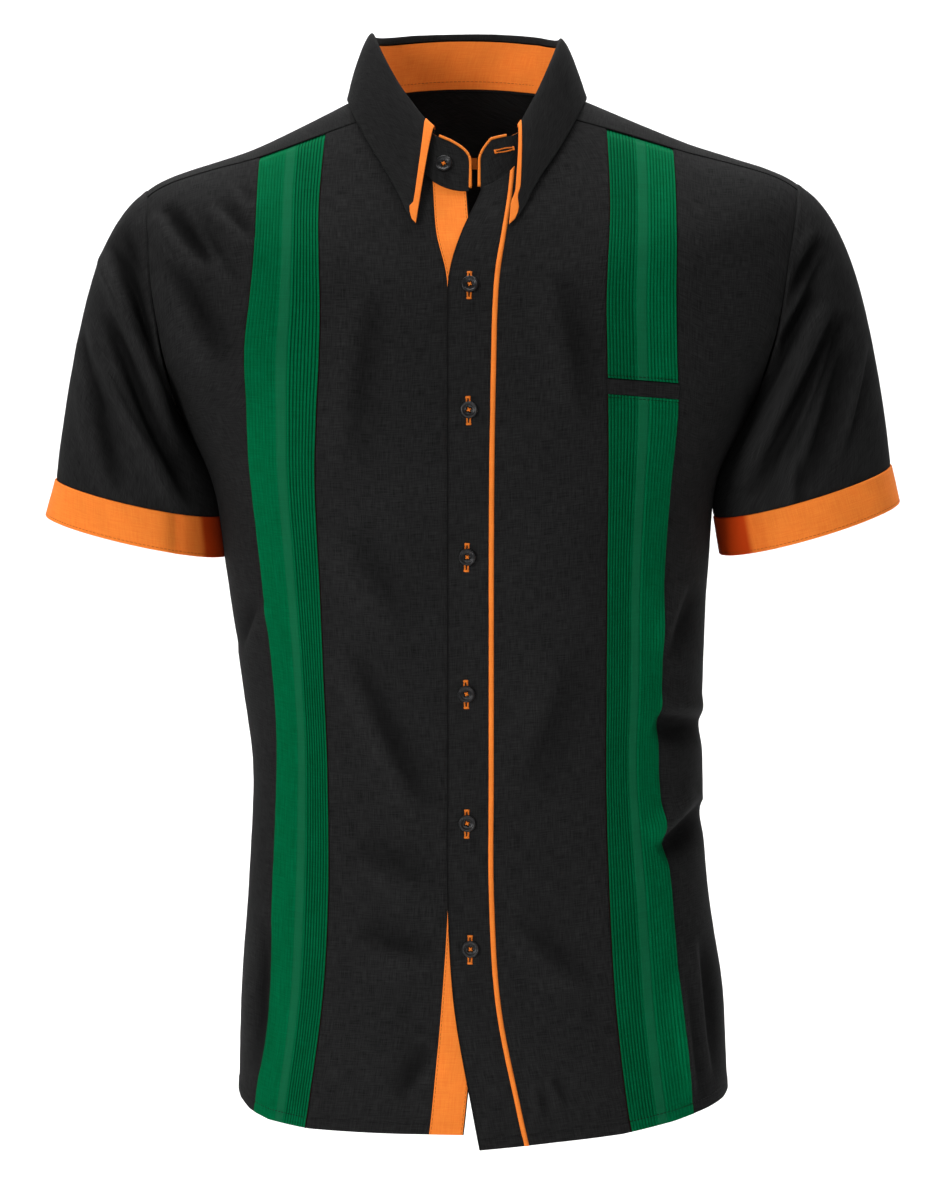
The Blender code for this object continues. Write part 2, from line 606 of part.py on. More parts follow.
def build_back():
    top_level = BACK_SEAM - BACK_SEAM_GAP
    seam_turn = armhole_turn(top_level)
    left = side_edge(1, HEM_BACK, "back", seam_turn)
    right = full_turn(side_edge(-1, HEM_BACK, "back", seam_turn))
    bottom = hem_edge(HEM_BACK, left[0], right[0], BACK_COLUMNS)
    angles = np.linspace(left[-1, 1], right[-1, 1], BACK_COLUMNS + 1)
    top = np.stack([np.full_like(angles, top_level), angles], -1)
    panel("back", patch(left, right, bottom, top), "black_poplin")


def yoke_end_levels(side, name):
    """Levels of the yoke's rows where it meets the fronts: at the panels' own corners and some
    places between them."""
    outer, inner = (
        seam_crossing(side, front_line(f"{name}_{edge}"), 0) for edge in ("outer", "inner")
    )
    along_side = np.linspace(CORNER_LEVEL, outer, SIDE_COLUMNS + 1)
    along_strip = np.linspace(outer, inner, 3)[1:]
    return np.concatenate([along_side, along_strip, np.linspace(inner, NECK, SEAM_COLUMNS + 1)[1:]])


def build_yoke():
    """From the front seam on one side, over the shoulders and across the back, to the other."""
    seam_turn = armhole_turn(BACK_SEAM)
    over_front = armhole(1, np.linspace(CORNER_TURN, math.pi, 4)[:-1], "front", -HALF_SEAM)
    over_back = armhole(1, np.linspace(math.pi, seam_turn, 5), "back", -HALF_SEAM)
    half = np.concatenate([over_front, over_back])
    across = np.linspace(half[-1, 1], 2 * math.pi - half[-1, 1], 15)[1:-1]
    back = np.stack([np.full_like(across, BACK_SEAM), across], -1)
    mirrored = half[::-1] * [1, -1] + [0, 2 * math.pi]
    outer = np.concatenate([half, back, mirrored])
    first = yoke_seam(1, yoke_end_levels(1, "left"), -1.5 * SEAM)
    last = full_turn(yoke_seam(-1, yoke_end_levels(-1, "right"), -1.5 * SEAM))
    outer[0], outer[-1] = first[0], last[0]
    turned = (outer[:, 1] - first[0, 1]) / (last[0, 1] - first[0, 1])
    neck_angles = first[-1, 1] + (last[-1, 1] - first[-1, 1]) * turned
    neck = np.stack([np.full_like(neck_angles, NECK), neck_angles], -1)
    u = turned[None, :, None]
    v = np.linspace(0, 1, len(first))[:, None, None]
    corners = (1 - v) * ((1 - u) * first[0] + u * last[0]) + v * ((1 - u) * first[-1] + u * last[-1])
    grid = (1 - u) * first[:, None] + u * last[:, None] + (1 - v) * outer + v * neck - corners
    panel("yoke", grid, "black_poplin")


# ---------------------------------------------------------------- sleeves


def cuff_ring(sleeve, place, turn, rise=0.0):
    """An oval ring of the cuff: place 0 is its upper edge, 1 its lower; turn 0 is nearest the body,
    a quarter turn the front."""
    tilt = math.radians(sleeve.tilt)
    inwards = np.array([-sleeve.side * math.cos(tilt), 0, -math.sin(tilt)])
    ahead = np.array([0, -1, -sleeve.lean])
    top = np.array([sleeve.top_x, 0, sleeve.top_z])
    bottom = np.array([sleeve.bottom_x, 0, sleeve.bottom_z])
    place, turn = np.broadcast_arrays(np.asarray(place, float), np.asarray(turn, float))
    centre = top + place[..., None] * (bottom - top)
    half = sleeve.top_half + place * (sleeve.bottom_half - sleeve.top_half) + rise
    depth = sleeve.half_depth + rise
    return (
        centre
        + (half * np.cos(turn))[..., None] * inwards
        + (depth * np.sin(turn))[..., None] * ahead
    )


def sleeve_surface(sleeve, along, turn):
    """Cubic curves from the armhole (along 0) to the cuff (along 1), one at each turn, each with
    a set direction at its two ends."""
    along, turn = np.broadcast_arrays(np.asarray(along, float), np.asarray(turn, float))
    turn = np.mod(turn, 2 * math.pi)
    in_front = turn <= math.pi
    near = armhole(sleeve.side, turn, "front", SLEEVE_CLEARANCE)
    far = armhole(sleeve.side, 2 * math.pi - turn, "back", SLEEVE_CLEARANCE)
    place = np.where(in_front[..., None], near, far)
    start = body_point(place[..., 0], place[..., 1])
    start[..., 0] += sleeve.side * SLEEVE_CLEARANCE
    end = cuff_ring(sleeve, 0.0, turn)
    outer = (1 - np.cos(turn)) / 2
    swing = np.sin(turn)
    out, slant, reach = (
        low + (high - low) * outer
        for low, high in (
            (sleeve.low_out, sleeve.high_out), (sleeve.low_slant, sleeve.high_slant), SLEEVE_ARRIVE
        )
    )
    leave = np.stack([sleeve.side * out, SLEEVE_SWING * swing, 0 * out - SLEEVE_DROP], -1)
    arrive = reach[..., None] * np.stack([sleeve.side * slant, 0 * slant, 0 * slant - 1], -1)
    w = along[..., None]
    return (
        start * (1 + 2 * w) * (1 - w) ** 2
        + leave * w * (1 - w) ** 2
        + end * w * w * (3 - 2 * w)
        + arrive * w * w * (w - 1)
    )


def sleeve_point(name, sleeve, along, turn, out=0.0):
    along, turn = np.broadcast_arrays(np.asarray(along, float), np.asarray(turn, float))
    points = sleeve_surface(sleeve, along, turn)
    inside = np.clip(along, 0.003, 0.997)
    outward = normals(lambda a, b: sleeve_surface(sleeve, a, b), inside, turn) * sleeve.side
    fade = np.clip(along * 8, 0, 1) * np.clip((1 - along) * 6, 0, 1)
    lift = out - fold_depth(points, name + "_sleeve") * fade
    return points + outward * lift[..., None]


def build_sleeves():
    turns = np.linspace(0, 2 * math.pi, SLEEVE_COLUMNS + 1)[None, :-1]
    for name, sleeve in SLEEVES.items():
        rows = np.linspace(0, 1, SLEEVE_ROWS + 1)[:, None]
        points = sleeve_point(name, sleeve, rows, turns)
        length = math.dist((sleeve.top_x, sleeve.top_z), (sleeve.bottom_x, sleeve.bottom_z))
        places = np.linspace(2 * SEAM / length, 1, CUFF_ROWS + 1)[:, None]
        cuff = cuff_ring(sleeve, places, turns, CUFF_RISE)
        if sleeve.side > 0:
            points, cuff = points[:, ::-1], cuff[:, ::-1]
        cloth("sleeve_" + name, points, "black_poplin", closed=True)
        cloth("cuff_" + name, cuff, "orange_poplin", CUFF_WALL, closed=True)


# ---------------------------------------------------------------- collar


def stand_point(angle, height, out=0.0):
    """The stand rises from the neck ring: height 0 to 1 up to its full height, drawn in a little
    and leaning back in front."""
    angle, height = np.broadcast_arrays(np.asarray(angle, float), np.asarray(height, float))
    base = body_surface(NECK, angle)
    centre = np.array([ring("middle_x", NECK), ring("side_y", NECK)])
    lean = np.where(np.cos(angle) > 0, STAND_LEAN_FRONT, STAND_LEAN_BACK) * np.cos(angle) ** 2
    rise = height * STAND_HEIGHT
    flat = (base[..., :2] - centre) * (1 - STAND_NARROWING * height * np.sin(angle) ** 2)[..., None] + centre
    flat[..., 1] += height * lean
    outward = flat - centre
    outward /= np.linalg.norm(outward, axis=-1, keepdims=True)
    flat = flat + outward * out
    return np.stack([flat[..., 0], flat[..., 1], base[..., 2] + STAND_LIFT + rise], -1)


def stand_share(distance):
    """The stand's height as a share, this far from its front end: a quarter oval, then level."""
    reach = np.clip(distance / STAND_END_ROUND, 0, 1)
    low = STAND_END_HEIGHT / STAND_HEIGHT
    return low + (1 - low) * np.sqrt(1 - (1 - reach) ** 2)


def stand_angles():
    """Angles from the end on the wearer's left round the back to the other end, closer together
    at the rounded ends."""
    first = float(angle_at_x(NECK, STAND_END_LEFT))
    last = 2 * math.pi + float(angle_at_x(NECK, STAND_END_RIGHT))
    turn_in = math.radians(26)
    start = first + turn_in * np.linspace(0, 1, 7) ** 1.3
    end = last - (turn_in + math.radians(7)) * np.linspace(1, 0, 7) ** 1.3
    middle = np.linspace(start[-1], end[0], 16)[1:-1]
    return np.concatenate([start, middle, end])


def stand_heights(angles):
    """The share of the full height at each angle, from the distance along the neck to the ends."""
    points = body_surface(NECK, angles)
    run = np.concatenate([[0], np.cumsum(np.linalg.norm(np.diff(points, axis=0), axis=1))])
    return stand_share(np.minimum(run, run[-1] - run))


def build_stand_piping(name, angles):
    """The orange edge round one end of the stand, from the first of these angles: its quarter oval
    moved out square to itself, then straight down to the neck seam."""
    steps = np.linalg.norm(np.diff(body_surface(NECK, angles), axis=0), axis=1)
    run = np.concatenate([[0], np.cumsum(steps)])
    turn = np.radians(np.linspace(STAND_PIPING_TURN, 0, 9))
    long, tall = STAND_END_ROUND, STAND_HEIGHT - STAND_END_HEIGHT
    across, above = tall * np.cos(turn), long * np.sin(turn)
    off = (STAND_PIPING_RADIUS + STAND_PIPING_GAP) / np.hypot(across, above)
    inwards = np.append(long * (1 - np.cos(turn)) - off * across, [-off[-1] * tall] * 2)
    up = np.append(STAND_END_HEIGHT + tall * np.sin(turn) + off * above, STAND_PIPING_FEET)
    places = np.interp(inwards, run, angles)
    places += np.minimum(inwards, 0) * (angles[1] - angles[0]) / run[1]
    route = stand_point(places, up / STAND_HEIGHT, -CLOTH)
    curve = bpy.data.curves.new(name, "CURVE")
    curve.dimensions = "3D"
    curve.bevel_depth = STAND_PIPING_RADIUS
    curve.bevel_resolution = 1
    curve.use_fill_caps = True
    line = curve.splines.new("POLY")
    line.points.add(len(route) - 1)
    for point, place in zip(line.points, route):
        point.co = (*place, 1)
    curve.materials.append(material("orange_poplin"))
    shirt.objects.link(bpy.data.objects.new(name, curve))


def leaf_point(place, run):
    """A cubic curve from the stand's inner top edge (run 0), up over the roll, down to the outer
    edge that lies on the shoulders (run 1). place runs along the rows of LEAF."""
    place, run = np.broadcast_arrays(np.asarray(place, float), np.asarray(run, float))
    fold = np.radians(column(LEAF, "fold_angle", place))
    edge = np.radians(column(LEAF, "edge_angle", place))
    level = column(LEAF, "edge_level", place)
    start = stand_point(fold, 1.0, -(CLOTH + SEAM + FACING_WALL))
    start[..., 2] += LEAF_ABOVE_STAND
    outward = stand_point(fold, 1.0, 0.001) - stand_point(fold, 1.0, 0.0)
    outward /= np.linalg.norm(outward, axis=-1, keepdims=True)
    end = body_surface(level, edge) + normals(body_surface, level, edge) * LEAF_CLEARANCE
    up = np.array([0, 0, 1.0])
    second = start + LEAF_ROLL_HEIGHT * up
    third = start + LEAF_ROLL_WIDTH * outward + LEAF_ROLL_HEIGHT * LEAF_ROLL_FALL * up
    r = run[..., None]
    return (
        start * (1 - r) ** 3
        + second * 3 * r * (1 - r) ** 2
        + third * 3 * r * r * (1 - r)
        + end * r**3
    )


def leaf_step(end_place, width):
    """How many rows of LEAF the trim takes up at one front end, to be this wide at the tip."""
    near = leaf_point(end_place, 0.8)
    towards = 1 if end_place == 0 else -1
    far = leaf_point(end_place + towards * 0.1, 0.8)
    return towards * 0.1 * width / float(np.linalg.norm(far - near))


def build_collar():
    angles = stand_angles()
    tops = stand_heights(angles)
    for name, out, finish, wall in (
        ("collar_stand", 0.0, "black_poplin", CLOTH),
        ("stand_facing", -CLOTH - SEAM, "orange_poplin", FACING_WALL),
    ):
        heights = np.linspace(0, 1, 3)[:, None] * tops[None, :]
        cloth(name, stand_point(angles[None, :], heights, out), finish, wall)
    build_stand_piping("stand_piping_left", angles)
    build_stand_piping("stand_piping_right", angles[::-1])
    rows = np.array(LEAF_ROWS)[:, None]
    last = len(LEAF) - 1
    left_step, right_step = leaf_step(0, TRIM_WIDTH), leaf_step(last, TRIM_WIDTH)
    middle = np.linspace(left_step, last + right_step, LEAF_COLUMNS - 1)
    places = np.concatenate([[0], middle, [last]])[None, :]
    cloth("collar_leaf", leaf_point(places, rows)[::-1], "black_poplin", LEAF_WALL)
    for name, end, step in (("collar_trim_left", 0, left_step), ("collar_trim_right", last, right_step)):
        places = np.sort(end + step * np.array([0.04, 1]))[None, :]
        points = leaf_point(places, rows[1:])
        points = points + normals(leaf_point, places, rows[1:]) * (SEAM + TRIM_WALL)
        cloth(name, points[::-1], "orange_poplin", TRIM_WALL)


# ---------------------------------------------------------------- buttons


def build_button(name, middle, normal):
    """A turned disc with a dished face, its back towards the cloth."""
    mesh = bpy.data.meshes.new(name)
    points = [(BUTTON_RADIUS * r, 0, BUTTON_THICK * h) for r, h in BUTTON_OUTLINE]
    mesh.from_pydata(points, [(k, k + 1) for k in range(len(points) - 1)], [])
    mesh.materials.append(material("black_button"))
    piece = bpy.data.objects.new(name, mesh)
    turn = piece.modifiers.new("turned", "SCREW")
    turn.steps = turn.render_steps = BUTTON_STEPS
    turn.use_merge_vertices = True
    turn.merge_threshold = 0.00001
    facing = Vector(normal).to_track_quat("Z", "Y").to_matrix().to_4x4()
    piece.matrix_world = Matrix.Translation(Vector(middle)) @ facing
    shirt.objects.link(piece)


def build_buttons():
    above = PLACKET_RISE + SEAM
    for number, (x, z) in enumerate(BUTTONS, 1):
        levels = np.linspace(0, NECK, 600)
        heights = body_surface(levels, angle_at_x(levels, x))[:, 2]
        level = float(np.interp(z, heights, levels))
        angle = float(angle_at_x(level, x))
        normal = normals(body_surface, np.array(level), np.array(angle))
        build_button(f"button_{number}", body_point(level, angle, above), normal)
    angle = angle_at_x(NECK, STAND_BUTTON_X)
    share = STAND_BUTTON_HEIGHT / STAND_HEIGHT
    outward = normals(lambda height, turn: stand_point(turn, height), np.array(share), angle)
    build_button("stand_button", stand_point(angle, share) + outward * 2 * SEAM, outward)


for leftover in list(bpy.data.objects):
    bpy.data.objects.remove(leftover)
shirt = bpy.data.collections.new("guayabera_shirt")
bpy.context.scene.collection.children.link(shirt)
build_fronts()
build_back()
build_yoke()
build_sleeves()
build_collar()
build_buttons()
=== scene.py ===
# A short-sleeved guayabera shirt as worn, with nobody in it, dressed over its CAD frame.
# Metres, +Z up, the front faces -Y, +X is the wearer's left.
import math
import bpy
import numpy as np
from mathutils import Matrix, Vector


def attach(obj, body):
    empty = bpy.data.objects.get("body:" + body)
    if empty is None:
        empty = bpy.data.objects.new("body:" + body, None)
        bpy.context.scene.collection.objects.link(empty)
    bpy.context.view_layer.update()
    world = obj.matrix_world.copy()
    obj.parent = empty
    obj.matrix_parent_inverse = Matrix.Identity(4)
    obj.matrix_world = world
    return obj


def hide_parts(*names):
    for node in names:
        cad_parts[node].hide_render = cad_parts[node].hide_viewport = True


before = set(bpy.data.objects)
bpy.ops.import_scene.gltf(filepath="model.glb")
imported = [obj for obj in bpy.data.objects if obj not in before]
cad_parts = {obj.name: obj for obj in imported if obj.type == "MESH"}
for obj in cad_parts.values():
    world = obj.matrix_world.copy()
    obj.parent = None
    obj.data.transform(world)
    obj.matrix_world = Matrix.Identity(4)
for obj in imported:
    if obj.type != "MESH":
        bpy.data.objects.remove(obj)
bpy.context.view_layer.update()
mm = 0.001
print("frame loaded, nodes:", len(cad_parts))

# ---- the form under all the cloth

bodyShape = {  # one value a ring, from below the hem up to the neck
    "frontZ": [
        -0.735, -0.690, -0.620, -0.545, -0.470, -0.410, -0.335, -0.278, -0.232, -0.192, -0.158, -0.130,
        -0.103, -0.072
    ],
    "sideZ": [
        -0.735, -0.690, -0.620, -0.545, -0.470, -0.410, -0.330, -0.262, -0.212, -0.160, -0.108, -0.0605,
        -0.032, 0.0045
    ],
    "backZ": [
        -0.735, -0.690, -0.620, -0.545, -0.470, -0.410, -0.330, -0.262, -0.214, -0.165, -0.110, -0.0665,
        -0.029, 0.0147
    ],
    "middleX": [
        0.0110, 0.0110, 0.0110, 0.0080, 0.0080, 0.0040, 0.0, -0.0015, -0.0010, 0.0010, 0.0015, 0.0040,
        0.0020, -0.0005
    ],
    "halfWidth": [
        0.1710, 0.1710, 0.1685, 0.1600, 0.1570, 0.1595, 0.1655, 0.1750, 0.2010, 0.2360, 0.2480, 0.2260,
        0.1480, 0.0665
    ],
    "armholeX": [
        0.171, 0.171, 0.169, 0.160, 0.157, 0.160, 0.167, 0.188, 0.201, 0.212, 0.219, 0.226, 0.230, 0.230
    ],
    "frontY": [
        -0.1200, -0.1195, -0.1165, -0.1110, -0.1080, -0.1100, -0.1180, -0.1230, -0.1225, -0.1190,
        -0.1140, -0.1080, -0.0990, -0.0860
    ],
    "sideY": [0.0, 0.0, 0.0, 0.0, 0.0, 0.0, 0.0, 0.001, 0.003, 0.005, 0.006, 0.006, 0.003, -0.002],
    "backY": [
        0.110, 0.110, 0.107, 0.102, 0.099, 0.102, 0.112, 0.119, 0.120, 0.118, 0.113, 0.103, 0.088, 0.062
    ],
    "squareness": [2.30, 2.30, 2.30, 2.30, 2.30, 2.30, 2.30, 2.30, 2.30, 2.30, 2.30, 2.30, 2.25, 2.20],
    "tilt": [0.0, 0.0, 0.0, 0.0, 0.0, 0.0, 0.0, 0.0, 0.001, 0.003, 0.005, 0.0025, 0.0025, 0.0],
}
underarm, shoulderTip, neck = 8.0, 11.0, 13.0  # rings

frontLines = {  # X of the seams and edges on the fronts at each ring
    "rightOuter": [
        -0.152, -0.145, -0.136, -0.132, -0.1296, -0.131, -0.139, -0.1459, -0.1486, -0.150, -0.1465,
        -0.1438, -0.143, -0.141
    ],
    "rightInner": [
        -0.113, -0.107, -0.0975, -0.0934, -0.0940, -0.0960, -0.0992, -0.1018, -0.1009, -0.0990, -0.0985,
        -0.0995, -0.1000, -0.0940
    ],
    "underEdge": [
        -0.0055, 0.0, 0.0065, 0.0110, 0.0110, 0.0110, 0.0110, 0.0110, 0.0110, 0.0110, 0.0110, 0.0095,
        0.0030, 0.0002
    ],
    "placketEdge": [
        0.0120, 0.0033, -0.0088, -0.0131, -0.0131, -0.0131, -0.0131, -0.0131, -0.0131, -0.0131, -0.0131,
        -0.0118, -0.0040, 0.0103
    ],
    "pipingEdge": [
        0.0430, 0.0327, 0.0190, 0.0145, 0.0145, 0.0145, 0.0145, 0.0147, 0.0152, 0.0160, 0.0168, 0.0187,
        0.0231, 0.0290
    ],
    "leftInner": [
        0.1160, 0.1080, 0.1000, 0.0960, 0.0939, 0.0943, 0.0944, 0.0947, 0.0946, 0.0942, 0.0937, 0.0950,
        0.0970, 0.0950
    ],
    "leftOuter": [
        0.1600, 0.1532, 0.1448, 0.1385, 0.1302, 0.1320, 0.1336, 0.1385, 0.1427, 0.1416, 0.1412, 0.1420,
        0.1425, 0.1420
    ],
}
hems = {  # X and Z along each lower edge
    "right": (
        [-0.160, -0.157, -0.150, -0.135, -0.107, 0.0],
        [-0.689, -0.694, -0.699, -0.7035, -0.7065, -0.7075]
    ),
    "left": (
        [0.003, 0.040, 0.060, 0.105, 0.140, 0.165, 0.177, 0.182],
        [-0.718, -0.7145, -0.7125, -0.7085, -0.7025, -0.6965, -0.693, -0.689]
    ),
    "back": (
        [-0.160, -0.155, -0.135, 0.011, 0.157, 0.177, 0.182],
        [-0.689, -0.696, -0.702, -0.704, -0.702, -0.696, -0.689]
    ),
}


def smooth(values, place):
    # a cubic curve through the values, each with the slope of its two neighbours
    values = np.asarray(values, float)
    slopes = np.gradient(values)
    place = np.clip(np.asarray(place, float), 0, len(values) - 1)
    k = np.minimum(place.astype(int), len(values) - 2)
    f = place - k
    return (values[k] * (1 + 2 * f) * (1 - f) ** 2 + slopes[k] * f * (1 - f) ** 2
            + values[k + 1] * f * f * (3 - 2 * f) + slopes[k + 1] * f * f * (f - 1))


def eased(share):
    # a step from 0 to 1 that is level at both ends
    share = np.clip(share, 0, 1)
    return share * share * (3 - 2 * share)


def bell(distance, width):
    return np.exp(-(distance / width) ** 2)


def ring(name, level):
    return smooth(bodyShape[name], level)


def bodySurface(level, angle):
    # a squarish oval: x goes as sin^(2/n), y as cos^(2/n), z from the side's height to the front's
    # or the back's with cos squared
    level, angle = np.broadcast_arrays(np.asarray(level, float), np.asarray(angle, float))
    n = ring("squareness", level)
    across = np.sign(np.sin(angle)) * np.abs(np.sin(angle)) ** (2 / n)
    forward = np.abs(np.cos(angle)) ** (2 / n)
    inFront = np.cos(angle) > 0
    sideY, sideZ = ring("sideY", level), ring("sideZ", level)
    endY = np.where(inFront, ring("frontY", level), ring("backY", level))
    endZ = np.where(inFront, ring("frontZ", level), ring("backZ", level))
    x = ring("middleX", level) + ring("halfWidth", level) * across
    y = sideY + (endY - sideY) * forward
    z = sideZ + (endZ - sideZ) * np.cos(angle) ** 2 + ring("tilt", level) * across
    return np.stack([x, y, z], -1)


def surfaceNormals(surface, a, b, step=0.002):
    # the cross product of the two tangents, each from points a small step to either side
    alongA = surface(a + step, b) - surface(a - step, b)
    alongB = surface(a, b + step) - surface(a, b - step)
    normal = np.cross(alongB, alongA)
    return normal / np.maximum(np.linalg.norm(normal, axis=-1, keepdims=True), 1e-12)


def angleAtX(level, x):
    offset = x - ring("middleX", level)
    share = np.clip(np.abs(offset) / ring("halfWidth", level), 0, 1)
    return np.sign(offset) * np.arcsin(share ** (ring("squareness", level) / 2))


def angleAhead(level, forward):
    share = forward / (ring("sideY", level) - ring("frontY", level))
    return np.arccos(np.clip(share, 0, 1) ** (ring("squareness", level) / 2))


def armhole(side, turn, face, shift=0.0):
    # level and angle along the armhole: turn 0 at the underarm, pi at the tip of the shoulder
    turn = np.asarray(turn, float)
    level = underarm + (shoulderTip - underarm) * (1 - np.cos(turn)) / 2
    share = np.clip((ring("armholeX", level) + shift) / ring("halfWidth", level), 0, 1)
    angle = np.arcsin(share ** (ring("squareness", level) / 2))
    return np.stack([level, side * (math.pi - angle if face == "back" else angle)], -1)


def armholeTurn(level):
    return math.acos(1 - 2 * (level - underarm) / (shoulderTip - underarm))


def fullTurn(edge):
    return np.stack([edge[..., 0], np.where(edge[..., 1] < 0, edge[..., 1] + 2 * math.pi, edge[..., 1])], -1)


yokeCut = {"aheadAtArm": 0.032, "aheadAtNeck": 0.046, "backLevel": 10.35, "overLap": 0.012, "underLap": 0.02}
turns = np.linspace(math.pi / 2, math.pi, 200)
tipLevels, tipAngles = armhole(1, turns, "front").T
tipAhead = ring("sideY", tipLevels) - bodySurface(tipLevels, tipAngles)[..., 1]
cornerTurn = float(np.interp(-yokeCut["aheadAtArm"], -tipAhead, turns))
cornerLevel = float(armhole(1, cornerTurn, "front")[0])


def yokeSeam(side, levels, shift=0.0):
    forward = np.interp(levels, [cornerLevel, neck], [yokeCut["aheadAtArm"], yokeCut["aheadAtNeck"]])
    return np.stack([levels, side * angleAhead(levels, forward + shift)], -1)


def frontLine(name, shift=0.0):
    return lambda level: smooth(frontLines[name], level) + shift


def between(lineA, lineB, share):
    return lambda level: lineA(level) * (1 - share) + lineB(level) * share


def hemCrossing(hem, line):
    levels = np.linspace(0, 2, 161)
    x = line(levels)
    z = bodySurface(levels, angleAtX(levels, x))[:, 2]
    return float(np.interp(0, z - np.interp(x, *hems[hem]), levels))


def hemAtAngle(hem, angle):
    levels = np.linspace(0, 2, 161)
    x, _, z = bodySurface(levels, angle).T
    return float(np.interp(0, z - np.interp(x, *hems[hem]), levels))


def seamCrossing(side, line, shift):
    levels = np.linspace(cornerLevel, neck, 200)
    seamX = bodySurface(levels, yokeSeam(side, levels, shift)[:, 1])[:, 0]
    return float(np.interp(0, side * (line(levels) - seamX), levels))


def heightCrossing(line, height):
    levels = np.linspace(5, neck, 400)
    return float(np.interp(height, bodySurface(levels, angleAtX(levels, line(levels)))[:, 2], levels))


def spaced(length, step, low=(), high=()):
    # shares of a length: even steps between offsets in mm that crowd towards its two ends
    low, high = np.array([0, *low]) * mm, length - np.array([0, *high])[::-1] * mm
    count = max(2, int(round((high[0] - low[-1]) / step)))
    return np.concatenate([low, np.linspace(low[-1], high[0], count + 1)[1:-1], high]) / length


def patch(left, right, bottom, top, across, up=None):
    # the blend of left and right, plus that of bottom and top, less that of the four corners
    u = across[None, :, None]
    v = (np.linspace(0, 1, len(left)) if up is None else up)[:, None, None]
    corners = (1 - v) * ((1 - u) * left[0] + u * right[0]) + v * ((1 - u) * left[-1] + u * right[-1])
    return (1 - u) * left[:, None] + u * right[:, None] + (1 - v) * bottom + v * top - corners


# ---- folds and unevenness, the same field for all pieces so that they meet at the seams

creases = {  # depth, width and ridge share, then start, bend and end as seen from the front, all in mm
    "front": [
        (1.1, 4, 0.5, -187, -80, -169, -115, -152, -140),
        (3.4, 8, 0.5, -209, -78, -196, -101, -172, -124),  # from the shoulder tip, wearer's right
        (2.4, 11, 0.5, -203, -118, -184, -150, -164, -192),
        (1.8, 5, 0.6, -172, -76, -155, -93, -145, -107),
        (1.0, 4, 0.6, -157, -62, -151, -72, -146, -81),
        (2.0, 10, 0.4, -79, -379, -56, -439, -25, -491),  # slants to the placket
        (1.5, 11, 0.4, -77, -573, -48, -579, -20, -589),
        (1.2, 12, 0.4, -79, -518, -45, -523, -20, -545),
        (1.8, 9, 0.4, -46, -684, -35, -666, -25, -646),
        (1.6, 6, 0.7, -156, -385, -149, -366, -141, -348),
        (2.0, 7, 0.5, -137, -568, -142, -619, -146, -673),
        (2.0, 8, 0.6, 155, -338, 146, -363, 138, -390),
        (5.5, 10, 0.5, 166, -434, 149, -437, 126, -430),  # waist, wearer's left
        (5.0, 10, 0.5, 166, -490, 149, -506, 128, -521),
        (3.2, 7, 0.6, 160, -580, 168, -626, 172, -680),
        (2.4, 7, 0.6, 150, -600, 157, -646, 160, -690),
        (1.3, 15, 0.4, 73, -388, 59, -431, 42, -478),
        (0.9, 4, 0.7, 57, -666, 63, -676, 67, -690),
        (0.8, 4, 0.7, 47, -670, 51, -681, 53, -698),

        (1.6, 12, 0.4, 60, -130, 74, -170, 80, -230),
        (1.4, 12, 0.4, -60, -140, -72, -190, -76, -260),
        (1.2, 13, 0.4, -84, -300, -60, -330, -40, -372),
        (1.2, 10, 0.5, 34, -560, 58, -590, 84, -606),
    ],
    "back": [
        (3.4, 11, 0.5, -196, -150, -160, -210, -110, -262),
        (3.2, 11, 0.5, 196, -148, 156, -206, 104, -252),
        (2.4, 12, 0.4, -182, -228, -130, -290, -60, -326),
        (2.6, 12, 0.4, 182, -226, 136, -296, 62, -340),
        (3.6, 10, 0.5, -148, -418, -80, -446, 0, -436),
        (3.2, 10, 0.5, 152, -408, 90, -436, 20, -470),
        (2.6, 10, 0.5, -120, -470, -50, -500, 40, -496),
        (2.0, 9, 0.5, 130, -500, 90, -520, 40, -528),
        (2.2, 10, 0.5, -110, -560, -118, -620, -124, -690),
        (2.0, 10, 0.5, 96, -570, 108, -630, 112, -696),
        (1.8, 12, 0.4, -20, -560, -26, -620, -40, -698),
    ],
    "sleeveFront": [
        (5.0, 8, 0.6, -249, -100, -218, -158, -188, -247),  # the long one, wearer's right
        (3.4, 8, 0.6, -250, -152, -230, -203, -188, -287),
        (1.9, 8, 0.5, -261, -196, -253, -235, -238, -276),
        (2.0, 9, 0.5, -242, -92, -222, -120, -207, -160),
        (1.3, 4, 0.5, -253, -105, -222, -161, -204, -196),
        (1.5, 4, 0.5, -215, -140, -197, -210, -183, -259),
        (1.2, 4, 0.5, -257, -161, -236, -210, -211, -252),
        (1.0, 4, 0.5, -274, -140, -267, -182, -250, -224),
        (1.3, 4, 0.5, 250, -108, 222, -160, 200, -205),
        (1.2, 4, 0.5, 262, -150, 246, -200, 216, -262),
        (1.0, 4, 0.5, 282, -168, 272, -214, 258, -258),
        (5.0, 7, 0.6, 244, -100, 212, -144, 168, -252),  # the long one, wearer's left
        (4.0, 6, 0.6, 240, -136, 212, -171, 182, -238),
        (3.8, 8, 0.6, 256, -149, 239, -192, 192, -276),
        (2.4, 8, 0.5, 262, -172, 249, -213, 230, -272),
        (1.2, 5, 0.6, 229, -250, 227, -271, 225, -292),
    ],
    "sleeveBack": [
        (4.4, 9, 0.6, -252, -102, -224, -160, -190, -246),
        (3.0, 9, 0.5, -258, -160, -238, -210, -208, -280),
        (2.0, 8, 0.5, -270, -190, -262, -240, -250, -284),
        (4.4, 9, 0.6, 252, -102, 222, -158, 188, -240),
        (3.2, 9, 0.5, 260, -156, 238, -208, 204, -270),
        (2.0, 8, 0.5, 274, -190, 268, -236, 256, -270),
    ],
}
